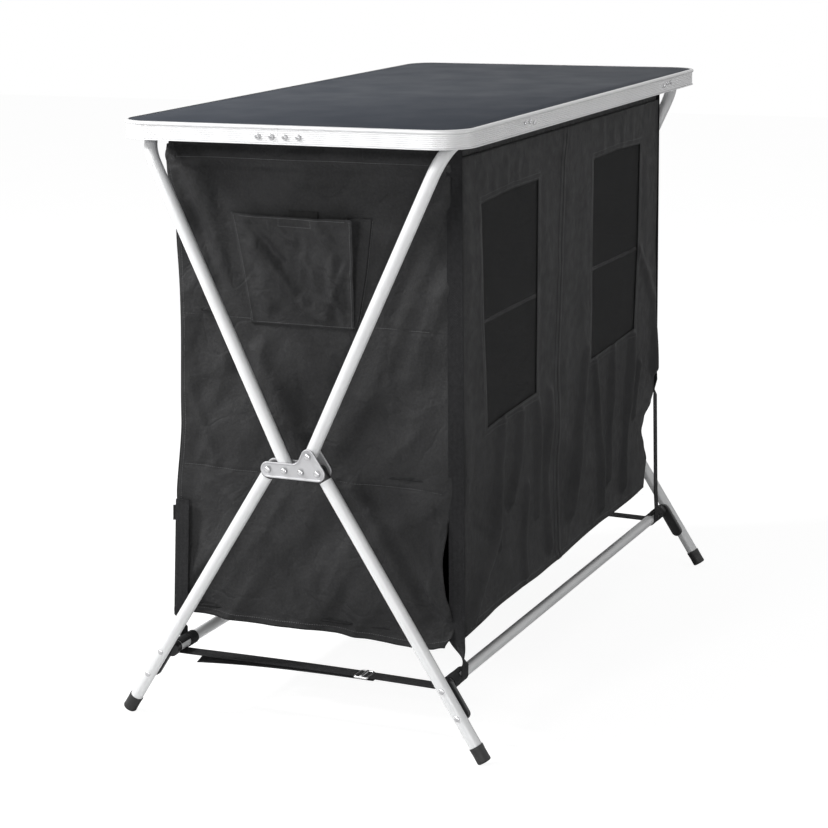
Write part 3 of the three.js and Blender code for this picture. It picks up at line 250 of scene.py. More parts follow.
def piece(name, points, faces, look, body, replaces=(), uv=None, sharp=38.0, closed=True, wall=0.0):
    """Puts points in millimetres and faces into a mesh, welds its poles, and turns shells outward."""
    points = np.asarray(points, float).reshape(-1, 3)
    mesh = bpy.data.meshes.new(name)
    mesh.from_pydata((points * MM).tolist(), [], [list(map(int, f)) for f in faces])
    if uv is not None:
        corner = np.empty(len(mesh.loops), np.int32)
        mesh.loops.foreach_get("vertex_index", corner)
        layer = mesh.uv_layers.new(name="UVMap")
        layer.data.foreach_set("uv", np.asarray(uv, float).reshape(-1, 2)[corner].ravel())
    if closed:
        shell = bmesh.new()
        shell.from_mesh(mesh)
        bmesh.ops.remove_doubles(shell, verts=shell.verts, dist=1e-6)
        bmesh.ops.recalc_face_normals(shell, faces=shell.faces)
        shell.to_mesh(mesh)
        shell.free()
    mesh.shade_smooth()
    mesh.set_sharp_from_angle(angle=math.radians(sharp))
    mesh.materials.append(look)
    thing = bpy.data.objects.new(name, mesh)
    bpy.context.scene.collection.objects.link(thing)
    if wall:
        solid = thing.modifiers.new("Thickness", "SOLIDIFY")
        solid.thickness = wall * MM
        solid.offset = 0.0
    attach(thing, body)
    if replaces:
        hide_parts(*replaces)
    return thing


def merged(parts):
    """Several (points, faces) sets as one."""
    points, faces, base = [], [], 0
    for p, f in parts:
        p = np.asarray(p, float).reshape(-1, 3)
        points.append(p)
        faces.extend([[int(i) + base for i in face] for face in f])
        base += len(p)
    return np.concatenate(points), faces


def tube_form(path, radius, binormal, wall=WALL, sides=36):
    """A tube: each point of the path carries a circle square to the path, and the bore's circles run
    back along it, so that both ends close with a flat rim."""
    path = np.asarray(path, float)
    along = unit(np.gradient(path, axis=0))
    up = np.broadcast_to(unit(binormal), path.shape)
    across = unit(np.cross(along, up))
    angle = np.linspace(0, 2 * math.pi, sides, endpoint=False)[None, :, None]
    ring = np.cos(angle) * across[:, None] + np.sin(angle) * up[:, None]
    outer = path[:, None] + radius * ring
    inner = (path[:, None] + (radius - wall) * ring)[::-1]
    grid = np.concatenate([outer, inner])
    return grid, quads_of(len(grid), sides, True, True).reshape(-1, 4)


def turned_form(profile, start, direction, sides=36, squeeze=None):
    """A turned form: each (radius, height) of the profile is carried round the axis."""
    profile = np.asarray(profile, float)
    axis = unit(direction)
    side = unit(np.cross(axis, (0, 0.3, 1) if abs(axis[0]) > 0.9 else (1, 0, 0)))
    other = np.cross(axis, side)
    angle = np.linspace(0, 2 * math.pi, sides, endpoint=False)[None, :, None]
    ring = np.cos(angle) * side + np.sin(angle) * other
    grid = np.asarray(start) + profile[:, None, 1:] * axis + profile[:, None, :1] * ring
    return grid, quads_of(len(profile), sides, False, True).reshape(-1, 4)


def plate_form(outline, rings):
    """A flat plate in the (y, z) plane: the outline, moved inward by each ring's first number, at
    the x of its second number; the first and last rings are filled."""
    ahead = unit(np.roll(outline, -1, 0) - np.roll(outline, 1, 0))
    inward = np.stack([-ahead[:, 1], ahead[:, 0]], -1)
    grid = np.stack([np.column_stack([np.full(len(outline), x), outline + inward * inset])
                     for inset, x in rings])
    n, m = grid.shape[:2]
    faces = quads_of(n, m, False, True).reshape(-1, 4).tolist()
    faces.append(list(range(m))[::-1])
    faces.append(list(range((n - 1) * m, n * m)))
    return grid, faces


def band_form(centre, across, width, thickness):
    """A flat strap: each station carries a thin rounded rectangle that lies along across. UVs run
    along and across it in metres."""
    centre = np.asarray(centre, float)
    across = np.broadcast_to(unit(across), centre.shape)
    along = unit(np.gradient(centre, axis=0))
    face = unit(np.cross(along, across))
    w, t = width / 2, thickness / 2
    section = np.array([[-w + t / 2, t], [w - t / 2, t], [w, t / 3], [w, -t / 3],
                        [w - t / 2, -t], [-w + t / 2, -t], [-w, -t / 3], [-w, t / 3]])
    fine = np.array([[s, t] for s in np.linspace(-w + t / 2, w - t / 2, 7)])
    section = np.concatenate([fine, section[2:4], fine[::-1] * (1, -1), section[6:8]])
    grid = centre[:, None] + section[None, :, :1] * across[:, None] + section[None, :, 1:] * face[:, None]
    run = np.concatenate([[0], np.cumsum(np.linalg.norm(np.diff(centre, axis=0), axis=1))])
    uv = np.stack(np.broadcast_arrays(run[:, None], section[None, :, 0]), -1) * MM
    m = len(section)
    faces = quads_of(len(centre), m, False, True).reshape(-1, 4).tolist()
    faces.append(list(range(m))[::-1])
    faces.append(list(range((len(centre) - 1) * m, len(centre) * m)))
    return grid, faces, uv


def resampled(line, step):
    """The same line of points with even steps."""
    line = np.asarray(line, float)
    run = np.concatenate([[0], np.cumsum(np.linalg.norm(np.diff(line, axis=0), axis=1))])
    at = np.linspace(0, run[-1], max(2, int(round(run[-1] / step)) + 1))
    return np.stack([np.interp(at, run, line[:, k]) for k in range(line.shape[1])], -1)


def stitches(name, lines, body, normal, pitch=3.4, length=2.5, half=0.32):
    """Sewing: along each line, spindle stitches that are half wide and stand half proud of it."""
    parts = []
    for line in lines:
        knots = resampled(line, pitch)
        middle = (knots[1:] + knots[:-1]) / 2
        along = unit(knots[1:] - knots[:-1]) * length / 2
        out = np.broadcast_to(unit(normal), along.shape) * half
        side = unit(np.cross(along, out)) * half
        points = np.stack([middle - along, middle + side, middle + out, middle - side, middle - out * 0.4,
                           middle + along], 1)
        face = np.array([[0, 1, 2], [0, 2, 3], [0, 3, 4], [0, 4, 1], [5, 2, 1], [5, 3, 2], [5, 4, 3], [5, 1, 4]])
        every = (np.arange(len(middle)) * 6)[:, None, None] + face
        parts.append((points, every.reshape(-1, 3)))
    points, faces = merged(parts)
    thing = piece(name, points, faces, THREAD, body)
    soft.append(thing)
    return thing


def cloth(name, x, y, z, look, body, replaces=(), uv=None, thickness=1.2, holes=None):
    """A sheet of cloth on a grid. Its cut size is the length of its middle row and column."""
    grid = np.stack(np.broadcast_arrays(x, y, z), -1).astype(float)
    rows, columns = grid.shape[:2]
    faces = quads_of(rows, columns)
    keep = np.ones(faces.shape[:2], bool) if holes is None else ~holes
    if uv is None:
        uv = flat_uv(grid)
    thing = piece(name, grid, faces[keep].tolist(), look, body, replaces, uv, 60.0, False, thickness)
    soft.append(thing)
    return thing


def flat_uv(grid):
    """UVs in metres: the run along the middle row and along the middle column."""
    rows, columns = grid.shape[:2]
    across = np.concatenate([[0], np.cumsum(np.linalg.norm(np.diff(grid[rows // 2], axis=0), axis=1))])
    up = np.concatenate([[0], np.cumsum(np.linalg.norm(np.diff(grid[:, columns // 2], axis=0), axis=1))])
    return np.stack(np.meshgrid(across, up), -1) * MM


# Table top

def corner_walk(half, radius, steps=20, start_y=None):
    """Points and outward directions round a rounded rectangle, a quarter turn of steps per corner,
    from the near end's middle by the front, far and rear."""
    x, y = half[0] - radius, half[1] - radius
    turn = np.linspace(0, math.pi / 2, steps + 1)
    starts = [math.pi, 1.5 * math.pi, 0, 0.5 * math.pi]
    centres = [(-x, -y), (x, -y), (x, y), (-x, y)]
    angle = np.concatenate([s + turn for s in starts])
    centre = np.repeat(centres, steps + 1, axis=0)
    out = np.stack([np.cos(angle), np.sin(angle)], -1)
    return centre + out * radius, out


def rail_section():
    """The edge rail in section, outward and up from its lip: a round bead at the foot, seven flat
    ribs with thin grooves between, a larger bead at the head, and flanges that turn in over and under."""
    low = np.linspace(-0.5, 0.5, 9) * math.pi
    foot = np.stack([-1.7 + 0.9 * np.cos(low), 0.8 + 0.8 * np.sin(low)], -1)
    rise = np.linspace(0, 1, 85)[1:-1]
    ribs = np.stack([-2.1 - 0.6 * np.exp(-(np.sin(rise * 7 * math.pi) / 0.42) ** 2), 1.9 + rise * 18.0], -1)
    head = np.stack([-2.4 + 2.4 * np.cos(low), RAIL_HEIGHT - 2.7 + 2.5 * np.sin(low)], -1)
    inside = [(-RAIL_FLANGE, RAIL_HEIGHT), (-RAIL_FLANGE, RAIL_HEIGHT - 0.5), (-3.9, RAIL_HEIGHT - 0.6),
              (-3.9, 1.4), (-5.8, 1.4), (-5.8, 0)]
    return np.concatenate([foot, [(-2.7, 1.7)], ribs, [(-2.7, 20.1)], head, inside])


def add_top():
    """The board as nested rounded rectangles, and the rail's section carried round each half."""
    edge, out = corner_walk((TOP_HALF[0] - 5.3, TOP_HALF[1] - 5.3), CORNER - 5.3)
    rings = [(0, BOARD_LOW), (0, BOARD_TOP - 0.4), (0.12, BOARD_TOP - 0.12), (0.4, BOARD_TOP)]
    grid = np.stack([np.column_stack([edge - out * inset, np.full(len(edge), z)]) for inset, z in rings])
    n, m = grid.shape[:2]
    faces = quads_of(n, m, False, True).reshape(-1, 4).tolist()
    faces += [list(range(m))[::-1], list(range((n - 1) * m, n * m))]
    piece("board", grid, faces, LAMINATE, "table_top", ["table_board"])
    section = rail_section()
    walk, out = corner_walk(TOP_HALF, CORNER, 28)
    count = len(walk) // 4
    for name, side in SIDES:
        seam = SPLICE_Y + side * 0.12
        half = slice(0, 2 * count) if side < 0 else slice(2 * count, 4 * count)
        at, away = walk[half], out[half]
        first, last = (-1, 1) if side < 0 else (1, -1)
        at = np.concatenate([[(first * TOP_HALF[0], seam)], at, [(last * TOP_HALF[0], seam)]])
        away = np.concatenate([[(first, 0)], away, [(last, 0)]])
        grid = np.concatenate([at[:, None] + away[:, None] * section[None, :, :1],
                               np.broadcast_to(HEIGHT - RAIL_HEIGHT + section[:, 1:], (len(at), len(section), 1))], -1)
        n, m = grid.shape[:2]
        faces = quads_of(n, m, False, True).reshape(-1, 4).tolist()
        faces += [list(range(m))[::-1], list(range((n - 1) * m, n * m))]
        piece(f"rail_{name}", grid, faces, ALLOY, "table_top", [f"edge_rail_{name}"], sharp=50)


def dome(radius, height, grip=0.0, head=0.0):
    """A rivet's profile: a flat head below, a shank of half the radius, and an elliptic dome."""
    a = np.linspace(0, math.pi / 2, 9)
    crown = np.stack([radius * np.cos(a), head + grip + height * np.sin(a)], -1)
    low = [(0, 0), (radius * 0.95, 0), (radius, head * 0.3), (radius, head), (radius * 0.55, head),
           (radius * 0.55, head + grip)] if grip else [(0, -0.6), (radius * 0.6, -0.6), (radius * 0.6, 0)]
    return np.concatenate([low, crown])


def add_top_rivets():
    """Four splice rivets on each end and three on each clip, as domes on the crowns of the ribs."""
    face = TOP_HALF[0] - 1.5
    for name, end in ENDS:
        parts = [turned_form(dome(4.3, 1.9), (end * face, SPLICE_Y + 19.7 * k, SPLICE_Z), (end, 0, 0), 28)
                 for k in (-1.5, -0.5, 0.5, 1.5)]
        points, faces = merged(parts)
        piece(f"splice_rivets_{name}", points, faces, BRIGHT, "table_top", sharp=60)
    face = TOP_HALF[1] - 1.5
    for side_name, side in SIDES:
        for end_name, x in zip(("near", "far"), CLIP_X):
            mirror = -math.copysign(1, x)
            parts = [turned_form(dome(3.0, 1.4), (x + mirror * k * 17, side * face, HEIGHT - 11.4 - (2.8 if k == 1 else 0)),
                                 (0, side, 0), 24) for k in (-1, 0, 1)]
            points, faces = merged(parts)
            piece(f"clip_rivets_{side_name}_{end_name}", points, faces, BRIGHT, "table_top", sharp=60)


# Frame

def upper(side, end, along):
    return np.array([end * LEG_X, side * (PIVOT_IN + along * math.sin(UPPER_TILT)),
                     BRACKET_Z + along * math.cos(UPPER_TILT)])


def lower(side, end, along):
    return np.array([end * LEG_X, side * (PIVOT_OUT + along * math.sin(LOWER_TILT)),
                     BRACKET_Z - along * math.cos(LOWER_TILT)])


def lower_at(side, end, z):
    return lower(side, end, (BRACKET_Z - z) / math.cos(LOWER_TILT))


def arc(start, leaving, ending, radius, steps=18):
    """A quarter turn: radius times sine along one direction and one less cosine along the other."""
    a = np.linspace(0, math.pi / 2, steps + 1)[:, None]
    return start + radius * (np.sin(a) * leaving + (1 - np.cos(a)) * ending)


def add_top_tubes():
    corner = (RUN_Z - BRACKET_Z) / math.cos(UPPER_TILT)
    for name, side in SIDES:
        up = unit(upper(side, 1, 1) - upper(side, 1, 0))
        right = np.array([1.0, 0, 0])
        near_bend = arc(upper(side, -1, corner - RUN_BEND), up, right, RUN_BEND)
        far_bend = near_bend[::-1] * (-1, 1, 1)
        legs = [upper(side, -1, a) for a in (-7.5, 100, 250, corner - RUN_BEND - 20)]
        path = np.concatenate([legs, near_bend, [(x, side * RUN_Y, RUN_Z) for x in np.linspace(-430, 430, 7)],
                               far_bend, np.array(legs[::-1]) * (-1, 1, 1)])
        grid, faces = tube_form(path, TUBE, np.cross(up, right))
        piece(f"top_tube_{name}", grid, faces, ENAMEL, "front_frame" if side < 0 else "rear_frame",
              [f"{name}_top_tube"])


def bracket_outline():
    """A bar with round ends through the four low rivets, and a lobe that rises round the fifth."""
    lobe = np.array(upper(-1, 1, 25)[1:])
    root = np.array(upper(-1, 1, 0)[1:])
    up = unit(lobe - root)
    flank = np.array([up[1], -up[0]])
    foot = root + 10 * flank
    notch = foot + up * (BRACKET_Z + 11 - foot[1]) / up[1]
    front = np.array([-PIVOT_OUT, BRACKET_Z])
    span = front - lobe
    tangent = math.atan2(span[1], span[0]) % (2 * math.pi) - math.acos(-1 / np.linalg.norm(span))

    def turn(centre, radius, a, b, steps):
        t = np.linspace(a, b, steps)
        return np.asarray(centre) + radius * np.stack([np.cos(t), np.sin(t)], -1)

    t = np.linspace(0, 1, 9)[:, None]
    low, high = notch + (7, 0), notch + 7 * up
    fillet = (1 - t) ** 2 * low + 2 * t * (1 - t) * notch + t ** 2 * high
    return np.concatenate([
        turn((PIVOT_OUT, BRACKET_Z), 11, -math.pi / 2, math.pi / 2, 21), fillet,
        turn(lobe, 10, math.atan2(flank[1], flank[0]), tangent, 21),
        turn(front, 11, tangent, 1.5 * math.pi, 21)])


def add_brackets():
    """Each plate is the outline with a rolled rim that stands proud of its flat middle."""
    outline = resampled(np.concatenate([bracket_outline(), bracket_outline()[:1]]), 1.1)[:-1]
    for name, end in ENDS:
        for place, sign in (("outer", 1), ("inner", -1)):
            near, far = LEG_X + sign * 9.3, LEG_X + sign * 11.3
            rings = [(1.2, near), (0.35, near), (0, near + sign * 0.4), (0, far - sign * 0.1),
                     (0.35, far + sign * 0.35), (1.3, far + sign * 0.45), (2.1, far + sign * 0.2),
                     (2.7, far - sign * 0.45), (3.4, far - sign * 0.55)]
            grid, faces = plate_form(outline, [(a, end * x) for a, x in rings])
            piece(f"bracket_{place}_{name}_plate", grid, faces, STEEL, "front_frame",
                  [f"bracket_{place}_{name}"], sharp=55)
        places = {"rear_leg": lower(1, end, 0), "rear_top": upper(1, end, 0), "front_top": upper(-1, end, 0),
                  "front_leg": lower(-1, end, 0), "lobe": upper(-1, end, 25)}
        for role, at in places.items():
            start = at - (end * 12.7, 0, 0)
            points, faces = turned_form(dome(4.3, 2.1, 23.9, 1.5), start, (end, 0, 0), 28)
            stands_for = [f"rivet_{role}_{name}"] if role in ("rear_leg", "rear_top") else []
            piece(f"pivot_{role}_{name}", points, faces, BRIGHT, "front_frame", stands_for, sharp=60)


def add_legs():
    cap_run = (BRACKET_Z - (7.5 * math.sin(LOWER_TILT) + 2.5 * (1 - math.cos(LOWER_TILT)) - 0.6)) / math.cos(LOWER_TILT)
    for side_name, side in SIDES:
        body = f"{side_name}_feet"
        for end_name, end in ENDS:
            tag = f"{side_name}_{end_name}"
            path = np.stack([lower(side, end, a) for a in np.linspace(13, cap_run - 4.4, 6)])
            grid, faces = tube_form(path, TUBE, (1, 0, 0))
            piece(f"lower_leg_{tag}", grid, faces, ENAMEL, body, [f"leg_{tag}"])
            add_knuckle(tag, side, end, body)
            add_cap(tag, side, end, body, cap_run)
            add_fitting(tag, side, end, body)
        at = np.array([[x, side * CROSS_Y, CROSS_Z] for x in np.linspace(-CROSS_END, CROSS_END, 9)])
        grid, faces = tube_form(at, CROSS, (0, 0, 1))
        piece(f"cross_rail_{side_name}", grid, faces, ENAMEL, body, [f"cross_tube_{side_name}"])


def add_knuckle(tag, side, end, body):
    """The black end of a lower leg: a round neck whose sections turn squarer and narrower over the
    pivot, so that it ends as a rounded eye between the plates."""
    along = np.concatenate([8.75 * np.sin(np.linspace(-0.5, 0, 10) * math.pi), [4, 8, 12.7]])
    width = np.where(along < 0, np.sqrt(np.clip(8.8 ** 2 - along ** 2, 0.05, None)), 8.8)
    power = np.clip(0.62 + 0.38 * along / 9, 0.5, 1.0)[:, None]
    a = np.linspace(0, 2 * math.pi, 33)[:-1][None]
    across = unit(np.cross(lower(side, end, 1) - lower(side, end, 0), (1, 0, 0)))
    axis = unit(lower(side, end, 1) - lower(side, end, 0))
    x = 8.8 * np.sign(np.cos(a)) * np.abs(np.cos(a)) ** power
    w = width[:, None] * np.sign(np.sin(a)) * np.abs(np.sin(a)) ** power
    grid = lower(side, end, 0) + along[:, None, None] * axis + w[..., None] * across + x[..., None] * np.array([1, 0, 0])
    n, m = grid.shape[:2]
    plug = grid[-1:] * 0.18 + lower(side, end, 12.7) * 0.82
    faces = quads_of(n, m, False, True).reshape(-1, 4).tolist()
    faces += [list(range(m))[::-1], list(range((n - 1) * m, n * m))]
    piece(f"eye_{tag}", grid, faces, PLASTIC, body, [f"knuckle_{tag}"], sharp=50)


def add_cap(tag, side, end, body, run):
    """The black cap: a turned cup with a rounded rim and a faint waist, worn flat where it stands."""
    a = np.linspace(0, math.pi / 2, 8)
    bottom = np.stack([7.5 + 2.5 * np.sin(a), 2.5 - 2.5 * np.cos(a)], -1)
    profile = np.concatenate([[(0, 0)], [(4, 0)], bottom, [(9.8, 8), (9.75, 15), (10.0, 21), (10.15, 23), (9.9, 24), (9.25, 24),
                                                 (9.25, 4), (0, 4)]])
    grid, faces = turned_form(profile, lower(side, end, run), lower(side, end, 0) - lower(side, end, 1), 40)
    grid[..., 2] = np.maximum(grid[..., 2], 0.0)
    piece(f"cap_{tag}", grid, faces, RUBBER, body, [f"foot_cap_{tag}"], sharp=45)


def add_fitting(tag, side, end, body):
    """The corner fitting: a round-ended arm on the inside of the leg, a stepped neck that goes into
    the cross rail, and two rivets through the leg."""
    high, down = lower_at(side, end, CROSS_Z + 2), lower_at(side, end, CROSS_Z - 33)
    lean = unit(down - high)[1:]
    start = math.atan2(lean[1], lean[0]) + math.pi / 2
    t = np.linspace(0, math.pi, 15)

    def end_turn(centre, base):
        return centre[1:] + 8.5 * np.stack([np.cos(base + t), np.sin(base + t)], -1)

    outline = resampled(np.concatenate([end_turn(high, start), end_turn(down, start + math.pi),
                                        end_turn(high, start)[:1]]), 1.6)[:-1]
    rings = [(1.0, 486.7), (0.3, 486.6), (0, 486.0), (0, 480.5), (0.4, 479.9), (1.2, 479.7), (2.4, 479.7), (3.0, 480.6)]
    arm, arm_faces = plate_form(outline, [(a, end * x) for a, x in rings])
    profile = [(0, 0), (9.6, 0), (10, 0.5), (10, 7.5), (9.4, 9.5), (8.7, 10.5), (8.7, 16.6), (8.0, 17.1), (6.5, 17.1),
               (6.5, 32), (5.4, 33.2), (0, 33.2)]
    neck, neck_faces = turned_form(profile, (end * 486.7, side * CROSS_Y, CROSS_Z), (-end, 0, 0), 32)
    points, faces = merged([(arm, arm_faces), (neck, neck_faces)])
    piece(f"fitting_{tag}", points, faces, PLASTIC, body, [f"corner_fitting_{tag}"], sharp=45)
    parts = [turned_form(dome(4.1, 1.9), at + (end * (TUBE - 0.5), 0, 0), (end, 0, 0), 26) for at in (high, down)]
    points, faces = merged(parts)
    piece(f"leg_rivets_{tag}", points, faces, BRIGHT, body, sharp=60)


# Cloth surfaces

def ease(t):
    t = np.clip(t, 0.0, 1.0)
    return t * t * (3 - 2 * t)


def folds(a, b, table):
    """Height of the listed folds: each row's width, height and line of points. It falls off from the
    line as a bell curve, beside a trough a third as deep and over twice as wide."""
    total = np.zeros(np.broadcast(a, b).shape)
    for width, height, line in table:
        line = np.asarray(line, float)
        nearest = np.full(total.shape, 1e9)
        for p, q in zip(line[:-1], line[1:]):
            d = q - p
            t = np.clip(((a - p[0]) * d[0] + (b - p[1]) * d[1]) / (d @ d), 0, 1)
            nearest = np.minimum(nearest, (a - p[0] - t * d[0]) ** 2 + (b - p[1] - t * d[1]) ** 2)
        total += height * (np.exp(-nearest / width ** 2) - 0.33 * np.exp(-nearest / (2.3 * width) ** 2))
    return total


def crumple(a, b, seed, longest, shortest, count, lean=0.0):
    """Slow unevenness: a sum of sine waves of seeded directions, lengths and phases, averaged."""
    draw = np.random.default_rng(seed)
    total = 0.0
    for _ in range(count):
        length = draw.uniform(shortest, longest)
        angle = draw.uniform(-0.7, 0.7) + lean
        total = total + np.sin(2 * math.pi * (a * math.cos(angle) + b * math.sin(angle)) / length
                               + draw.uniform(0, 2 * math.pi))
    return total / math.sqrt(count)


def creased(a, b, seed, longest, shortest, count, lean=0.0):
    """Sharp folds of crumpled cloth: ridges that run where a slow unevenness passes through zero,
    with the plane bent a little first by another."""
    bent = a + 14 * crumple(a, b, seed + 1, 260, 120, 5)
    field = crumple(bent, b, seed, longest, shortest, count, lean)
    return 0.55 - np.sqrt(field * field + 0.012)


def between(value, table):
    """A smooth value between the listed (place, value) pairs."""
    table = np.asarray(sorted(table), float)
    value = np.asarray(value, float)
    low = np.clip(np.searchsorted(table[:, 0], value) - 1, 0, len(table) - 2)
    t = ease((value - table[low, 0]) / (table[low + 1, 0] - table[low, 0]))
    return table[low, 1] + (table[low + 1, 1] - table[low, 1]) * t


REAR_EDGE = [(132, 232), (151, 230.5), (226, 223), (300, 221), (417, 210.5), (588, 208), (682, 211), (728, 214), (769, 223), (790, 224),
             (813, 221.5)]


def rear_edge(z):
    """The rear edge of the cabinet, drawn in under the top tube and let out towards the hem."""
    return between(z, REAR_EDGE)


NEAR_HEM = [(-216, 147), (-207, 143), (-188, 132), (-167, 126.5), (-137, 124), (-60, 127), (-18, 129), (197, 132), (240, 132)]
FREE_EDGE = [(120, -190), (131, -190), (156, -203), (178, -200), (211, -192), (250, -189), (302, -195), (325, -200),
             (345, -203), (813, -203)]
FAR_FREE_EDGE = [(120, -170), (169, -172), (260, -178), (320, -186), (350, -203), (813, -203)]
NEAR_FOLDS = [
    (12, -6.5, [(208, 761), (175, 690), (144, 616), (95, 541)]), (16, 4.5, [(180, 785), (150, 712), (122, 640)]),
    (13, -5.5, [(-185, 720), (-160, 680), (-135, 630), (-110, 560)]), (14, 3.5, [(-196, 640), (-170, 580), (-140, 500)]),
    (8, 2.6, [(199, 569), (173, 567), (136, 502)]), (8, 2.4, [(202, 473), (163, 371), (158, 357)]),
    (9, 2.2, [(206, 348), (118, 298)]), (10, 2.6, [(108, 275), (62, 221), (25, 148)]),
    (6, 1.6, [(-82, 681), (-101, 651)]), (7, 1.8, [(-1, 558), (-23, 523)]),
    (12, 4.2, [(-52, 343), (-82, 294), (-111, 241), (-150, 174)]), (9, 4.4, [(-141, 268), (-165, 214), (-195, 179)]),
    (8, 3.6, [(-171, 327), (-186, 305), (-170, 214)]), (8, 2.6, [(-77, 308), (-122, 289), (-171, 322)]),
    (26, 7.5, [(205, 795), (150, 690), (95, 560), (40, 430)]), (26, 5.0, [(-205, 760), (-150, 640), (-90, 500), (-40, 400)]),
    (12, 1.8, [(60, 480), (20, 420), (-30, 400)]), (10, 1.6, [(150, 640), (175, 600)]), (9, 1.6, [(-60, 470), (-110, 455)]),
    (14, 2.2, [(180, 250), (140, 190), (120, 150)]), (12, 2.0, [(-10, 250), (20, 200), (10, 150)]),
    (2.6, -1.5, [(203, 569), (-173, 565)]), (2.6, -1.5, [(212, 352), (-191, 345)]),
    (5, 1.2, [(170, 350), (150, 366)]), (5, 1.2, [(90, 349), (72, 360)]), (5, 1.1, [(-20, 347), (-44, 361)]),
    (5, 1.2, [(-90, 566), (-112, 578)]), (5, 1.0, [(150, 568), (132, 580)]),
]
FAR_FOLDS = [
    (28, 4.5, [(200, 790), (150, 680), (80, 520)]), (26, 4, [(-200, 780), (-140, 640), (-70, 480)]),
    (10, 2.6, [(150, 340), (90, 260), (60, 180)]), (11, 3, [(-60, 330), (-110, 250), (-150, 180)]),
    (9, 2, [(40, 560), (0, 500)]), (9, 2, [(190, 480), (150, 400)]), (2.6, -1.5, [(203, 569), (-205, 567)]),
    (2.6, -1.5, [(212, 352), (-205, 349)]), (8, 2.4, [(-170, 330), (-185, 260), (-175, 190)]),
]


def end_relief(end, y, z):
    """How far an end wall stands out: its listed folds, slow unevenness that dies out at the sewn
    edges, the band at the head and the doubled hem."""
    edge = ease((rear_edge(z) - y) / 30) * ease((y + 216) / 24) * ease((END_TOP - 12 - z) / 40)
    slow = 4.0 * crumple(y, z, 11 + end, 300, 130, 7, 0.6) + 0.35 * crumple(y, z, 23 + end, 60, 24, 9, 0.5)
    slow = slow + 5.4 * creased(y, z, 31 + end, 260, 110, 4, 0.9) + 1.5 * creased(y, z, 47 + end, 110, 50, 5, 0.2) \
        + 0.25 * creased(y, z, 61 + end, 48, 24, 6)
    behind = 1.0
    if end < 0:
        away = np.maximum(np.abs(y - 16) - 104, np.abs(z - 643) - 80)
        behind = ease(away / 40)
    hem_z = between(y, NEAR_HEM) if end < 0 else END_LOW
    hem = 0.7 * (1 - ease((z - hem_z - 11) / 1.6)) - 0.5 * np.exp(-((z - hem_z - 12.5) / 1.6) ** 2)
    band = 3.0 * np.exp(-((z - 790) / 7) ** 2) - 1.6 * np.exp(-((z - 778) / 3.0) ** 2) - 4.0 * ease((z - 797) / 10)
    table = NEAR_FOLDS if end < 0 else FAR_FOLDS
    return (1.4 * folds(y, z, table) + slow) * (0.15 + 0.85 * edge) * (0.1 + 0.9 * behind) + hem + band + 1.4


def end_x(end, y, z):
    base = NEAR_X if end < 0 else FAR_X
    out = end_relief(end, y, z)
    if end < 0:
        low = ease((335 - z) / 60) * ease((y + 216) / 6)
        out = out + 9.0 * ease((-150 - y) / 50) * low * np.exp(-((z - 232) / 70) ** 2)
        out = out + 4.0 * ease((-120 - y) / 70) * ease((190 - z) / 50)
    return base + end * out


def add_end_walls():
    columns, rows = 150, 220
    for name, end in ENDS:
        u, v = np.meshgrid(np.linspace(0, 1, columns), np.linspace(0, 1, rows))
        free = FREE_EDGE if end < 0 else FAR_FREE_EDGE
        z = END_LOW + (END_TOP - END_LOW) * v
        front = between(z, free)
        y = front + (rear_edge(z) - front) * u
        low = between(y, NEAR_HEM) if end < 0 else END_LOW + 4 * np.cos(y / 90)
        z = low + (END_TOP - low) * v
        front = between(z, free)
        y = front + (rear_edge(z) - front) * u
        wall = cloth(f"end_wall_{name}", end_x(end, y, z), y, z, CANVAS, "front_frame",
                     [f"wall_{name}"])
        add_end_sewing(name, end)
    return wall


def on_end(end, y, z, proud=0.5):
    """Points on an end wall's outer face."""
    y, z = np.broadcast_arrays(np.asarray(y, float), np.asarray(z, float))
    return np.stack([end_x(end, y, z) + end * (0.6 + proud * 0.4), y, z], -1)


def add_end_sewing(name, end):
    t = np.linspace(0, 1, 60)
    y = -200 + 405 * t
    hem = (between(y, NEAR_HEM) if end < 0 else END_LOW + 4 * np.cos(y / 90)) + 9
    lines = [on_end(end, y, np.full(60, 789.5)), on_end(end, y, hem),
             on_end(end, -170 + 370 * t, 566.5 + 2.2 * t), on_end(end, -186 + 396 * t, 346 + 6 * t)]
    z = 150 + 640 * t
    lines.append(on_end(end, rear_edge(z) - 5, z))
    stitches(f"wall_sewing_{name}", lines, "front_frame", (end, 0, 0))


SEAM = [(140, -60), (157, -60), (175, -67), (377, -70), (593, -53), (738, -41), (801, -28)]
FAR_DOOR_EDGE = [(150, 344), (169, 346), (190, 356), (214, 365), (240, 353), (265, 342), (285, 356), (303, 392), (322, 408),
                 (340, 410), (522, 411), (703, 415), (801, 417)]
HEM = [(-432, 152), (-274, 156.5), (-89, 159), (151, 164), (237, 164), (346, 169)]
WINDOWS = {
    "near": [[(422, -345), (574, -357), (738, -367)], [(437, -154), (741, -146)], [(-345, 421), (-282, 426), (-161, 431)],
             [(-367, 732), (-250, 738), (-146, 738)]],
    "far": [[(435, 87), (740, 93)], [(443, 296), (573, 312), (739, 321)], [(87, 434), (190, 438), (292, 444)],
            [(96, 740), (206, 742), (317, 739)]],
}
NEAR_PLEATS = [(-354, 784), (-318, 771), (-274, 780), (-230, 770), (-191, 770)]
FAR_PLEATS = [(136, 792), (184, 778), (232, 784), (281, 784)]
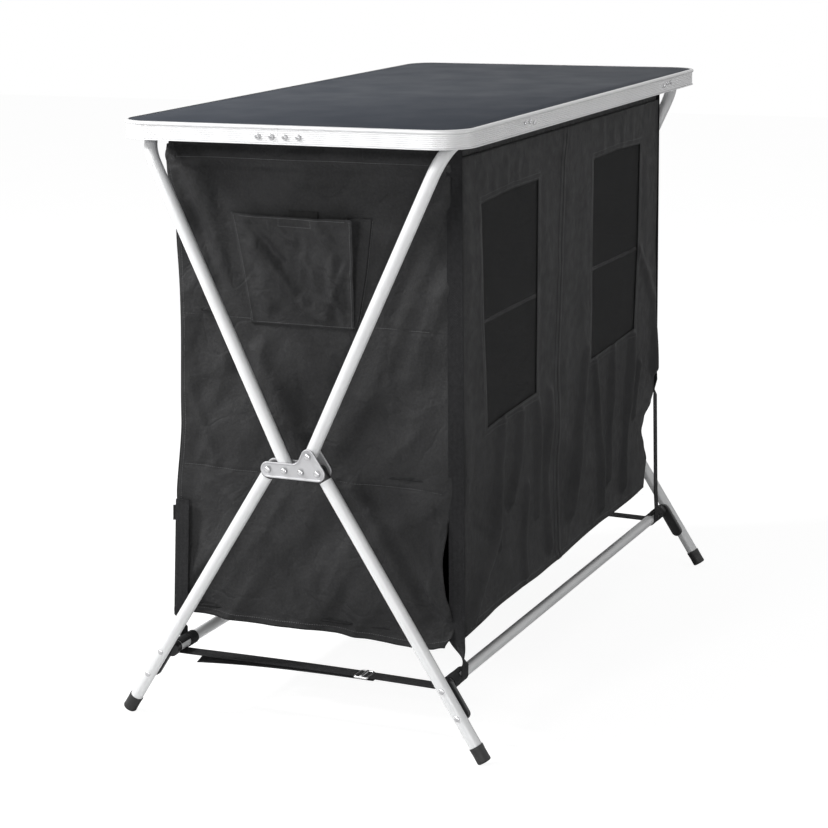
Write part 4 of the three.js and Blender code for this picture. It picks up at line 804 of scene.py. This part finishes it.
DOOR_FOLDS = [
    (13, 6.0, [(-287, 419), (-300, 365), (-319, 269), (-375, 213), (-418, 163)]),
    (11, 5.0, [(-216, 414), (-229, 348), (-261, 298)]), (10, 4.2, [(-155, 412), (-147, 319), (-150, 250)]),
    (16, 1.6, [(-419, 765), (-408, 649), (-415, 498), (-423, 338)]), (16, 2.4, [(-67, 596), (-136, 606)]),
    (6, -2.2, [(-399, 295), (-344, 269)]), (6, 2.2, [(-306, 271), (-300, 240)]),
    (12, 3.4, [(-100, 420), (-112, 300), (-100, 190)]), (11, 3.0, [(-190, 300), (-205, 220), (-200, 175)]),
    (13, 5.0, [(68, 451), (12, 266), (-10, 219)]), (11, 4.6, [(108, 426), (136, 252), (138, 190)]),
    (12, 4.6, [(195, 436), (169, 228)]), (12, 5.0, [(287, 436), (245, 199)]),
    (12, 5.0, [(324, 566), (398, 478), (404, 359)]), (20, 1.6, [(60, 700), (48, 560), (52, 470)]),
    (18, 1.6, [(-116, 700), (-108, 600), (-118, 500)]), (22, 1.8, [(-10, 700), (-30, 560), (-35, 420)]),
    (16, 2.0, [(360, 700), (350, 620), (372, 520)]), (10, 3.0, [(320, 380), (300, 300)]),
] + [(10.0, 1.7, [(x, 750), (x + 4, top)]) for x, top in NEAR_PLEATS + FAR_PLEATS]


def in_window(x, z, reach=0.0):
    """1 inside a window widened by reach, falling to 0 over four millimetres outside it."""
    total = 0.0
    for left, right, low, high in WINDOWS.values():
        gap = np.maximum(np.maximum(line_at(z, left) - x, x - line_at(z, right)),
                         np.maximum(line_at(x, low) - z, z - line_at(x, high))) - reach
        total = total + 1 - ease(gap / 4)
    return np.clip(total, 0, 1)


def line_at(value, table):
    """A straight run between the listed places, carried on past both ends."""
    table = np.asarray(sorted(table), float)
    low = np.clip(np.searchsorted(table[:, 0], value) - 1, 0, len(table) - 2)
    t = (value - table[low, 0]) / (table[low + 1, 0] - table[low, 0])
    return table[low, 1] + (table[low + 1, 1] - table[low, 1]) * t


def door_relief(x, z):
    """How far the front stands out: its listed folds, upright waves that grow towards the hem, a
    raised seam allowance round each window, and the hems."""
    down = ease((DOOR_TOP - z) / 420)
    free = ease((DOOR_TOP + 4 - z) / 26)
    wide = 0.42 * x
    waves = (0.5 + 1.4 * down) * crumple(wide, z, 5, 210, 90, 6) + 0.15 * crumple(wide, z, 7, 80, 40, 6)
    waves = waves + (0.2 + down) * 1.5 * creased(wide, z, 37, 240, 100, 4, 0.5)
    glass = in_window(x, z, 2)
    rise = 0.3 * in_window(x, z, 11) * (1 - glass)
    seam = np.abs(x - between(z, SEAM))
    fly = 1.1 * (1 - ease((seam - 9) / 1.6)) - 0.6 * np.exp(-((seam - 11) / 1.5) ** 2)
    low = z - between(x, HEM)
    hem = 0.9 * (1 - ease((low - 10) / 1.6)) - 0.5 * np.exp(-((low - 11.5) / 1.4) ** 2)
    body = (0.9 + 1.5 * ease((500 - z) / 160)) * folds(x, z, DOOR_FOLDS) + waves
    body = np.where(body < 0, -1.6 * (1 - np.exp(body / 1.6)), body)
    return (body * (1 - 0.8 * glass)) * free + rise + 0.6 * fly * free + hem + 1.9 - 1.6 * ease((NEAR_X - x) / 3)


def door_y(x, z):
    return -(HALF_Y + 0.9 + door_relief(x, z))


def door_grid(name, columns, rows):
    """Rows and columns that run along the window's edges: places are shared out between the outer
    edge, the window's two sides and the other edge, and the same way up the height."""
    left_edge, right_edge, low_edge, high_edge = WINDOWS[name]

    def lines(z):
        if name == "near":
            return [np.full_like(z, NEAR_X - 4.0), line_at(z, left_edge), line_at(z, right_edge), between(z, SEAM) - 0.6]
        return [between(z, SEAM) + 0.6, line_at(z, left_edge), line_at(z, right_edge), between(z, FAR_DOOR_EDGE)]

    def levels(x):
        return [between(x, HEM), line_at(x, low_edge), line_at(x, high_edge), np.full_like(x, DOOR_TOP + 0.5)]

    def share(parts, counts):
        pieces = []
        for k, count in enumerate(counts):
            t = np.arange(count + (k == len(counts) - 1)) / count
            pieces.append((k, t))
        return pieces

    x = np.broadcast_to(np.linspace(*((NEAR_X, -60) if name == "near" else (-40, 400)), sum(columns) + 1),
                        (sum(rows) + 1, sum(columns) + 1)).copy()
    z = np.zeros_like(x)
    for _ in range(3):
        level = levels(x)
        start = 0
        for k, t in share(level, rows):
            part = slice(start, start + len(t))
            z[part] = level[k][part] + (level[k + 1][part] - level[k][part]) * t[:, None]
            start += len(t)
        line = lines(z)
        start = 0
        for k, t in share(line, columns):
            part = slice(start, start + len(t))
            x[:, part] = line[k][:, part] + (line[k + 1][:, part] - line[k][:, part]) * t[None]
            start += len(t)
    hole = np.zeros((sum(rows), sum(columns)), bool)
    hole[rows[0]:rows[0] + rows[1], columns[0]:columns[0] + columns[1]] = True
    return x, z, hole


def add_doors():
    counts = {"near": ((22, 60, 28), (80, 86, 18)), "far": ((38, 62, 30), (80, 86, 18))}
    for name, end in ENDS:
        columns, rows = counts[name]
        x, z, hole = door_grid(name, columns, rows)
        body = f"door_leaf_{name}"
        net_part = (slice(rows[0] - 2, rows[0] + rows[1] + 3), slice(columns[0] - 2, columns[0] + columns[1] + 3))
        nx, nz = x[net_part], z[net_part]
        net = cloth(f"window_net_{name}", nx, -(HALF_Y + 0.7 + 0.2 * door_relief(nx, nz)), nz, NET, body,
                    thickness=0.35)
        sewing = add_door_sewing(name, body)
        cloth(f"door_cloth_{name}", x, door_y(x, z), z, DOOR_CLOTH, body, [f"door_{name}"],
              holes=hole)


def on_door(x, z):
    x, z = np.broadcast_arrays(np.asarray(x, float), np.asarray(z, float))
    return np.stack([x, door_y(x, z) - 0.75, z], -1)


def add_door_sewing(name, body):
    left, right, low, high = WINDOWS[name]
    t = np.linspace(0, 1, 70)
    lines = []
    for gap in (3.0, 9.5):
        z = line_at(-250, low) - gap + (line_at(-250, high) - line_at(-250, low) + 2 * gap) * t
        lines.append(on_door(line_at(z, left) - gap, z))
        lines.append(on_door(line_at(z, right) + gap, z))
        x = left[0][1] - gap + (right[0][1] - left[0][1] + 2 * gap) * t
        lines.append(on_door(x, line_at(x, low) - gap))
        x = left[-1][1] - gap + (right[-1][1] - left[-1][1] + 2 * gap) * t
        lines.append(on_door(x, line_at(x, high) + gap))
    span = (NEAR_X + 3, -64) if name == "near" else (-56, 342)
    x = span[0] + (span[1] - span[0]) * t
    lines.append(on_door(x, between(x, HEM) + 9))
    z = 166 + 630 * t
    lines.append(on_door(between(z, SEAM) + (-8 if name == "near" else 8), z))
    x, z = right[-1][1] - 3 + 13 * t, line_at(right[-1][1], high) + 9.5
    for lift in (0.0, 1.2, 2.4):
        lines.append(on_door(x, np.full(70, z + lift)))
    return stitches(f"door_sewing_{name}", lines, body, (0, -1, 0))


REAR_FOLDS = [
    (13, 5, [(-300, 700), (-280, 480), (-310, 200)]), (12, 4.5, [(-150, 760), (-170, 420), (-140, 160)]),
    (14, 5, [(20, 780), (40, 500), (10, 170)]), (12, 4.5, [(190, 740), (170, 400), (200, 150)]),
    (13, 5, [(320, 780), (340, 420), (310, 150)]), (26, 4, [(-420, 300), (-200, 240), (60, 300)]),
    (24, 4, [(400, 330), (220, 270), (60, 330)]), (9, 2.5, [(-380, 250), (-340, 180)]),
]


def add_rear_wall():
    """The plain back: it follows the rear edge's profile, with upright waves that open downward."""
    u, v = np.meshgrid(np.linspace(0, 1, 190), np.linspace(0, 1, 130))
    x = NEAR_X + 1 + (FAR_X - NEAR_X - 2) * u
    z = END_LOW + 3 * np.sin(x / 110) + (DOOR_TOP + 2 - END_LOW) * v
    free = ease((DOOR_TOP - z) / 60)
    out = (folds(x, z, REAR_FOLDS) + 3.0 * crumple(x, z, 41, 220, 90, 7) * ease((DOOR_TOP - z) / 400)) * free
    out = out + 0.5 * crumple(x, z, 43, 70, 26, 9) + 0.8 * (1 - ease((z - END_LOW - 12) / 2)) + 3.0
    out = out * (0.25 + 0.75 * ease((x - NEAR_X) / 30) * ease((FAR_X - x) / 30))
    cloth("rear_wall", x, rear_edge(z) + 0.9 + out, z, CANVAS, "front_frame", ["wall_rear"])


def add_headers():
    """Each header hangs from its top tube: a loop round the tube and a tail that drops to the wall,
    drawn as one strip of cloth along the tube."""
    for name, side in SIDES:
        y0 = side * RUN_Y
        tail_y = side * (HALF_Y + (0.2 if side < 0 else 0.6))
        reach = math.asin((RUN_Y - HALF_Y - 0.4) / 10.1)
        a = np.linspace(-math.pi + reach, math.pi * 0.92, 34)
        loop_y, loop_z = y0 + side * 10.1 * np.sin(a), RUN_Z + 10.1 * np.cos(a)
        section = np.concatenate([np.column_stack([np.full(6, tail_y), np.linspace(DOOR_TOP - 6, RUN_Z - 11, 6)]),
                                  np.column_stack([loop_y, loop_z])])
        x = np.linspace(NEAR_X + 0.5, FAR_X - 0.5, 150)
        drift = 0.25 * np.sin(x / 17) + 0.2 * np.sin(x / 41 + 1)
        xs = np.broadcast_to(x[None], (len(section), len(x)))
        ys = section[:, :1] + 0.0 * xs
        zs = section[:, 1:] + np.where(np.arange(len(section)) < 5, 1.0, 0.0)[:, None] * drift[None]
        cloth(f"header_{name}_cloth", xs, ys, zs, CANVAS, "front_frame", [f"header_{name}"],
              thickness=1.0)


def slab_sheet(name, x0, x1, level, replaces, sag, front_rise=0.0):
    """A stiffened shelf: flat where it is sewn to the walls and sagging as half waves between."""
    u, v = np.meshgrid(np.linspace(0, 1, 60), np.linspace(0, 1, 50))
    x = x0 + 1 + (x1 - x0 - 2) * u
    y = -HALF_Y + 1 + (rear_edge(level) - 6 + HALF_Y) * v
    z = level - sag * np.sin(math.pi * u) * (0.25 + 0.75 * np.sin(math.pi * v)) + 0.4 * crumple(x, y, 61, 160, 60, 6)
    z = z + front_rise * (1 - ease((y + HALF_Y) / 60)) * ease((x - x0) / 300)
    y = y + 2.2 * front_rise * ease((x - x1 + 80) / 60) * (1 - v)
    cloth(name, x, y, z, LINING, "front_frame", [replaces], thickness=3.4)


def add_inside():
    for level_name, level in (("lower", LOW_SHELF), ("upper", TOP_SHELF)):
        for name, x0, x1 in (("near", NEAR_X, DIVIDER_X - 2), ("far", DIVIDER_X + 2, FAR_X)):
            slab_sheet(f"shelf_{level_name}_{name}_cloth", x0, x1, level, f"shelf_{level_name}_{name}", 3.0)
            x = np.linspace(x0 + 4, x1 - 4, 40)
            u = (x - x0) / (x1 - x0)
            drop = 0.75 * np.sin(math.pi * u) + (3.0 if level_name == "upper" else 0.0)
            if (level_name, name) == ("upper", "near"):
                drop = drop + 3 * np.exp(-((x + 372) / 105) ** 2)
            at = np.column_stack([x, np.full(40, -HALF_Y + 0.1), level - drop])
            grid, faces, uv = band_form(at, (0, 0, 1), 5.5, 0.8)
            soft.append(piece(f"shelf_edging_{level_name}_{name}", grid, faces, EDGING, "front_frame", uv=uv,
                              sharp=50))
    slab_sheet("floor_cloth", NEAR_X, FAR_X, FLOOR_Z, "cabinet_floor", -3.5, front_rise=22.0)
    u, v = np.meshgrid(np.linspace(0, 1, 60), np.linspace(0, 1, 90))
    y = -HALF_Y + 1 + (HALF_Y * 2 - 13) * u
    z = FLOOR_Z + 2 + (806 - FLOOR_Z - 2) * v + 16 * (1 - ease(u / 0.12)) * (1 - v)
    x = DIVIDER_X + 0.8 * crumple(y, z, 71, 240, 90, 6) * np.sin(math.pi * u)
    cloth("divider_cloth", x, y, z, LINING, "front_frame", ["divider"], thickness=2.4)


# Side pocket on the near end wall

POCKET_REAR = [(566, 97), (570, 97), (640, 109), (717, 124), (722, 125)]
POCKET_FRONT = [(557, -59), (562, -59), (640, -61), (717, -66), (722, -66)]
GUSSET = [(557, -60), (575, -66), (640, -78), (722, -88)]
POCKET_LOW, POCKET_TOP = 562.0, 715.0
POCKET_FOLDS = [
    (12, 6.5, [(84, 668), (46, 632), (8, 586), (-18, 574)]), (8, -4.5, [(92, 700), (50, 652), (20, 610)]),
    (9, 4.5, [(-14, 706), (-34, 664), (-28, 600)]), (6, 3.0, [(60, 704), (26, 680)]), (8, 3.0, [(98, 620), (66, 590)]),
    (5, 2.6, [(-50, 650), (-32, 606), (-44, 576)]), (5, -2.4, [(30, 676), (-16, 640), (-30, 580)]),
    (6, 2.4, [(10, 660), (-6, 618)]), (5, 2.0, [(-30, 690), (-52, 660)]),
]


def pocket_x(y, z):
    """The pocket's face leans out from its sewn rear and lower edges to its free front top corner."""
    v = (z - POCKET_LOW) / (POCKET_TOP - POCKET_LOW)
    u = (line_at(z, POCKET_REAR) - y) / (line_at(z, POCKET_REAR) - line_at(z, POCKET_FRONT))
    free = ease(u / 0.12) * ease(v / 0.1)
    out = 1.6 + 5.0 * ease(u / 0.2) * v + 13.0 * ease(u) * v ** 1.3
    hem = 0.7 * ease((z - POCKET_TOP + 13) / 1.5) - 0.5 * np.exp(-((z - POCKET_TOP + 14) / 1.3) ** 2)
    return NEAR_X - 2.6 - out - free * (1.35 * folds(y, z, POCKET_FOLDS) + 0.8 * crumple(y, z, 83, 90, 34, 8) + 1.4 * creased(y, z, 87, 90, 36, 5)) - hem


def add_pocket():
    rows = 64
    v = np.linspace(0, 1, rows)
    z = POCKET_LOW + (POCKET_TOP - POCKET_LOW) * v
    sag = 1.6 * v ** 3
    u = np.linspace(0, 1, 70)
    y_rear, y_front, y_back = (line_at(z, t)[:, None] for t in (POCKET_REAR, POCKET_FRONT, GUSSET))
    face_y = y_rear + (y_front - y_rear) * u[None]
    zz = z[:, None] - sag[:, None] * np.sin(math.pi * u)[None] * 1.0
    face_x = pocket_x(face_y, np.broadcast_to(zz, face_y.shape))
    t = np.linspace(0, 1, 22)[1:]
    tuck, lay = np.clip(t / 0.5, 0, 1), np.clip(t / 0.5 - 1, 0, 1)
    fold_y = y_front + (y_back - y_front) * lay[None] + 11 * np.sin(math.pi * tuck)[None] * (0.3 + 0.7 * v[:, None])
    wall_x = end_x(-1, fold_y, z[:, None] + 0 * fold_y) - 1.8
    fold_x = face_x[:, -1:] + (wall_x - face_x[:, -1:]) * ease(tuck)[None]
    y = np.concatenate([face_y, fold_y], 1)
    x = np.concatenate([face_x, fold_x], 1)
    sewing = stitches("pocket_sewing", pocket_lines(), "front_frame", (-1, 0, 0))
    velcro = add_pocket_closing()
    cloth("pocket_face", x, y, np.broadcast_to(np.concatenate([zz, np.broadcast_to(zz[:, -1:], (rows, 21))], 1), x.shape),
          CANVAS, "front_frame", ["pocket"], thickness=1.1)


def on_pocket(y, z):
    y, z = np.broadcast_arrays(np.asarray(y, float), np.asarray(z, float))
    return np.stack([pocket_x(y, z) - 0.8, y, z], -1)


def pocket_lines():
    t = np.linspace(0, 1, 50)
    z = POCKET_LOW + 3 + (POCKET_TOP - POCKET_LOW - 6) * t
    span = POCKET_LOW + 3
    lines = [on_pocket(line_at(z, POCKET_REAR) - 3, z), on_pocket(line_at(z, POCKET_FRONT) + 3, z),
             on_pocket(88 - 150 * t, span + 0 * t), on_pocket(110 - 166 * t, POCKET_TOP - 4 + 0 * t),
             on_end(-1, line_at(z, GUSSET) - 1.5, z, 3.0)]
    for z_line in (711, 700):
        lines.append(on_pocket(47 - 51 * t, z_line + 0 * t))
    for y_line in (47, -4):
        lines.append(on_pocket(y_line + 0 * t, 700 + 11 * t))
    return lines


def add_pocket_closing():
    """The hook strip sewn to the wall behind the pocket's mouth, of which the upper edge shows."""
    y, z = np.meshgrid(np.linspace(37, -8, 30), np.linspace(700, 721, 14))
    x = end_x(-1, y, z) - 2.0
    grid = np.stack([x, y, z], -1)
    faces = quads_of(*grid.shape[:2]).reshape(-1, 4)
    strip = piece("pocket_hook_strip", grid, faces, HOOKS, "front_frame", uv=flat_uv(grid), closed=False,
                  wall=1.6)
    soft.append(strip)
    return strip


# Straps

def tape_path(side, end, lay):
    """A corner tape's middle line and width direction: down the end wall, a quarter twist below the
    hem, and a turn round the cross rail."""
    wall = NEAR_X if end < 0 else FAR_X
    x = wall + end * lay
    top_y = 207.0 if side < 0 else 211.0
    turned = side < 0 < end
    hem_y = (215.0 if turned else 207.0) if side < 0 else CROSS_Y + 11
    twist_top, twist_end = (142.0, 108.0) if side < 0 else (129.0, 108.0)
    z = np.linspace(814 if side < 0 else 300, twist_top + 2, 46)
    start, run = (350, 40) if turned else (300, 170)
    y = top_y + (hem_y - top_y) * np.clip((start - z) / run, 0, 1)
    slant = 10.0 * np.clip((345 - z) / 203, 0, 1) if turned else 0 * z
    down = np.column_stack([x + slant, side * y, z])
    x = x + slant[-1]
    t = np.linspace(0, 1, 16)
    low_y, low_x = CROSS_Y + CROSS + 1.0, (x if turned else wall + end * 2.5)
    turn = np.column_stack([x + (low_x - x) * t, side * (hem_y + (low_y - hem_y) * t), twist_top + (twist_end - twist_top) * t])
    a = math.pi / 2 - 5.2 * np.linspace(0, 1, 34)
    loop = np.column_stack([np.full(34, low_x), side * (CROSS_Y + 9.0 * np.sin(a)), CROSS_Z - 9.0 * np.cos(a)])
    path = np.concatenate([down, turn, loop[1:]])
    early = 0.95 * ease((350 - z) / 40) if turned else 0 * z
    angle = np.concatenate([early, np.maximum(t, early[-1]), np.ones(33)]) * math.pi / 2
    across = np.column_stack([np.sin(angle), np.cos(angle), 0 * angle])
    return path, across


def add_tapes():
    for end_name, end in ENDS:
        for side_name, side in SIDES:
            path, across = tape_path(side, end, 5.2 if side < 0 and end < 0 else 6.0)
            grid, faces, uv = band_form(path, across, 23.0 if side < 0 else 22.0, 1.4)
            tag = f"{side_name}_{end_name}"
            soft.append(piece(f"tape_{tag}", grid, faces, WEBBING, "front_frame", [f"corner_tape_{tag}"],
                              uv=uv, sharp=50))


def add_spreaders():
    """The strap turns round both cross rails; its tail hangs loose below it as a shallow bow."""
    for name, end in ENDS:
        x = end * SPREAD_X
        a = np.linspace(4.2, 0, 30)
        front = np.column_stack([np.full(30, x), -CROSS_Y - 9.2 * np.sin(a), CROSS_Z - 9.2 * np.cos(a)])
        middle = np.column_stack([np.full(20, x), np.linspace(-CROSS_Y, CROSS_Y, 22)[1:-1],
                                  np.full(20, CROSS_Z - 9.2) + 1.8 * np.sin(np.linspace(0, math.pi, 20))])
        path = np.concatenate([front, middle, front[::-1] * (1, -1, 1)])
        grid, faces, uv = band_form(path, (1, 0, 0), 24.0, 1.6)
        parts, uvs = [(grid, faces)], [uv.reshape(-1, 2)]
        y = np.linspace(-96, 178, 40)
        t = (y + 96) / 274
        tail = np.column_stack([x + end * 1.5 * np.sin(t * 5), y, CROSS_Z - 10.9 + 1.5 * np.sin(math.pi * t) - 7 * t ** 2])
        lean = np.column_stack([np.ones(40), 0 * t, 0.25 * t ** 2])
        grid, faces, uv = band_form(tail, lean, 23.0, 1.2)
        parts.append((grid, faces))
        uvs.append(uv.reshape(-1, 2))
        points, faces = merged(parts)
        soft.append(piece(f"spreader_{name}", points, faces, WEBBING, "front_frame",
                          [f"spreader_strap_{name}"], uv=np.concatenate(uvs), sharp=50))
        add_buckle(name, x)


def add_buckle(name, x):
    """A slide of round wire: a rectangle with round corners and a wider bar across its middle."""
    y, z = -78.0, CROSS_Z - 8.0
    t = np.linspace(0, math.pi / 2, 7)[:-1]
    corners = [(13.2, 9.6, 0), (-13.2, 9.6, 1), (-13.2, -9.6, 2), (13.2, -9.6, 3)]
    ring = np.concatenate([np.column_stack([x + cx - math.copysign(3, cx) + 3 * np.cos(t + q * math.pi / 2),
                                            y + cy - math.copysign(3, cy) + 3 * np.sin(t + q * math.pi / 2),
                                            np.full(6, z)]) for cx, cy, q in corners])
    ahead = unit(np.roll(ring, -1, 0) - np.roll(ring, 1, 0))
    side = np.cross(ahead, (0, 0, 1))
    a = np.linspace(0, 2 * math.pi, 13)[:-1][None, :, None]
    frame_grid = ring[:, None] + 1.7 * (np.cos(a) * side[:, None] + np.sin(a) * np.array([0, 0, 1]))
    frame_faces = quads_of(len(ring), 12, True, True).reshape(-1, 4)
    bar, bar_faces = turned_form([(0, 0), (2.3, 0), (2.3, 25), (0, 25)], (x - 12.5, y, z + 0.5), (1, 0, 0), 16)
    points, faces = merged([(frame_grid, frame_faces), (bar, bar_faces)])
    soft.append(piece(f"buckle_{name}", points, faces, BUCKLE, "front_frame", [f"strap_buckle_{name}"],
                      sharp=50))


def add_tag():
    """A small blank tab sewn into the rear seam of the near end."""
    z, v = np.meshgrid(np.linspace(268, 290, 12), np.linspace(0, 1, 8))
    y = rear_edge(z) - 3 + 10 * v
    x = NEAR_X - 1.5 - 2.0 * v ** 2
    grid = np.stack([x, y, z], -1)
    soft.append(piece("seam_tab", grid, quads_of(8, 12).reshape(-1, 4), WEBBING, "front_frame",
                      uv=flat_uv(grid), closed=False, wall=0.9))


# Stage

def add_camera():
    """The camera stands where the photograph was taken from: its axes come from the azimuth, the
    height angle and a slight roll, and the picture is a part of a wider one, off its middle."""
    azimuth, height, roll = (math.radians(a) for a in (-64.558, 10.282, -0.929))
    back = np.array([math.sin(azimuth) * math.cos(height), -math.cos(azimuth) * math.cos(height), math.sin(height)])
    right = np.array([math.cos(azimuth), math.sin(azimuth), 0.0])
    up = np.cross(back, right)
    turned_right = right * math.cos(roll) + up * math.sin(roll)
    turned_up = np.cross(back, turned_right)
    data = bpy.data.cameras.new("camera")
    data.sensor_width, data.sensor_fit, data.lens = 36.0, "HORIZONTAL", 2344.84 / 828 * 36
    data.shift_x, data.shift_y = 87.33 / 828, -106.62 / 828
    data.clip_end = 100
    camera = bpy.data.objects.new("camera", data)
    bpy.context.scene.collection.objects.link(camera)
    place = np.eye(4)
    place[:3, 0], place[:3, 1], place[:3, 2], place[:3, 3] = turned_right, turned_up, back, (-3.25553, -1.3611, 1.15763)
    camera.matrix_world = Matrix(place.tolist())
    bpy.context.scene.camera = camera


def add_lamp(name, place, size, power):
    data = bpy.data.lights.new(name, "AREA")
    data.shape, data.size, data.energy = "DISK", size, power
    lamp = bpy.data.objects.new(name, data)
    bpy.context.scene.collection.objects.link(lamp)
    place = np.array(place, float)
    back = unit(place - np.array([0, 0, 0.45]))
    right = unit(np.cross((0, 0, 1), back))
    frame_matrix = np.eye(4)
    frame_matrix[:3, 0], frame_matrix[:3, 1], frame_matrix[:3, 2], frame_matrix[:3, 3] = right, np.cross(back, right), back, place
    lamp.matrix_world = Matrix(frame_matrix.tolist())


def add_stage():
    """A pale floor, a white sky for the camera and for reflections, and a softer sky as light."""
    world = bpy.data.worlds.new("sky")
    bpy.context.scene.world = world
    world.use_nodes = True
    tree = world.node_tree
    rays = tree.nodes.new("ShaderNodeLightPath").outputs
    seen = tree.nodes.new("ShaderNodeMath")
    seen.operation = "MAXIMUM"
    tree.links.new(rays["Is Camera Ray"], seen.inputs[0])
    tree.links.new(rays["Is Glossy Ray"], seen.inputs[1])
    strength = tree.nodes.new("ShaderNodeMapRange")
    tree.links.new(seen.outputs[0], strength.inputs["Value"])
    strength.inputs["To Min"].default_value = 0.22
    strength.inputs["To Max"].default_value = 1.0
    sky = tree.nodes["Background"]
    sky.inputs["Color"].default_value = (1, 1, 1, 1)
    tree.links.new(strength.outputs[0], sky.inputs["Strength"])
    mesh = bpy.data.meshes.new("floor")
    mesh.from_pydata([(-8, -8, -0.0004), (8, -8, -0.0004), (8, 8, -0.0004), (-8, 8, -0.0004)], [], [(0, 1, 2, 3)])
    floor = bpy.data.objects.new("floor", mesh)
    bpy.context.scene.collection.objects.link(floor)
    look = Look("pale floor", Roughness=0.9, Specular_IOR_Level=0.0)
    shade = look.tint(look.span(look.noise(3, 2), 0, 1), (0.90, 0.90, 0.90), (0.93, 0.93, 0.93))
    ray = look.tree.nodes.new("ShaderNodeLightPath").outputs["Is Camera Ray"]
    glow = look.tree.nodes.new("ShaderNodeEmission")
    blend = look.tree.nodes.new("ShaderNodeMixShader")
    glow.inputs["Strength"].default_value = 1.31
    look.feed(blend.inputs[0], look.math("MULTIPLY", ray, 0.7))
    look.tree.links.new(look.shader.outputs[0], blend.inputs[1])
    look.tree.links.new(glow.outputs[0], blend.inputs[2])
    look.tree.links.new(blend.outputs[0], look.tree.nodes["Material Output"].inputs["Surface"])
    mesh.materials.append(look.set(Base_Color=shade))
    add_lamp("key", (-3.4, 0.7, 1.35), 0.7, 27)
    add_lamp("high", (-1.5, 2.4, 2.4), 0.7, 118)
    add_lamp("side", (-3.2, -1.35, 0.5), 0.5, 18)
    add_lamp("low", (0.1, -1.5, 0.14), 0.6, 4.0)
    bpy.context.scene.view_settings.view_transform = "Standard"


def fold_soft_pieces():
    """Gives every cloth piece a mesh of its own."""
    for thing in soft:
        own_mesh(thing)


add_camera()
add_top()
add_top_rivets()
add_top_tubes()
add_brackets()
add_legs()
add_end_walls()
add_doors()
add_rear_wall()
add_headers()
add_inside()
add_pocket()
add_tapes()
add_spreaders()
add_tag()
for clip_side in ("front", "rear"):
    for clip_end in ("near", "far"):
        clip_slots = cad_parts[f"tube_clip_{clip_side}_{clip_end}"].material_slots
        for entry in clip_slots:
            entry.material = PLASTIC
for end_name in ("near", "far"):
    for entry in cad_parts[f"splice_plate_{end_name}"].material_slots:
        entry.material = BRIGHT
fold_soft_pieces()
add_stage()
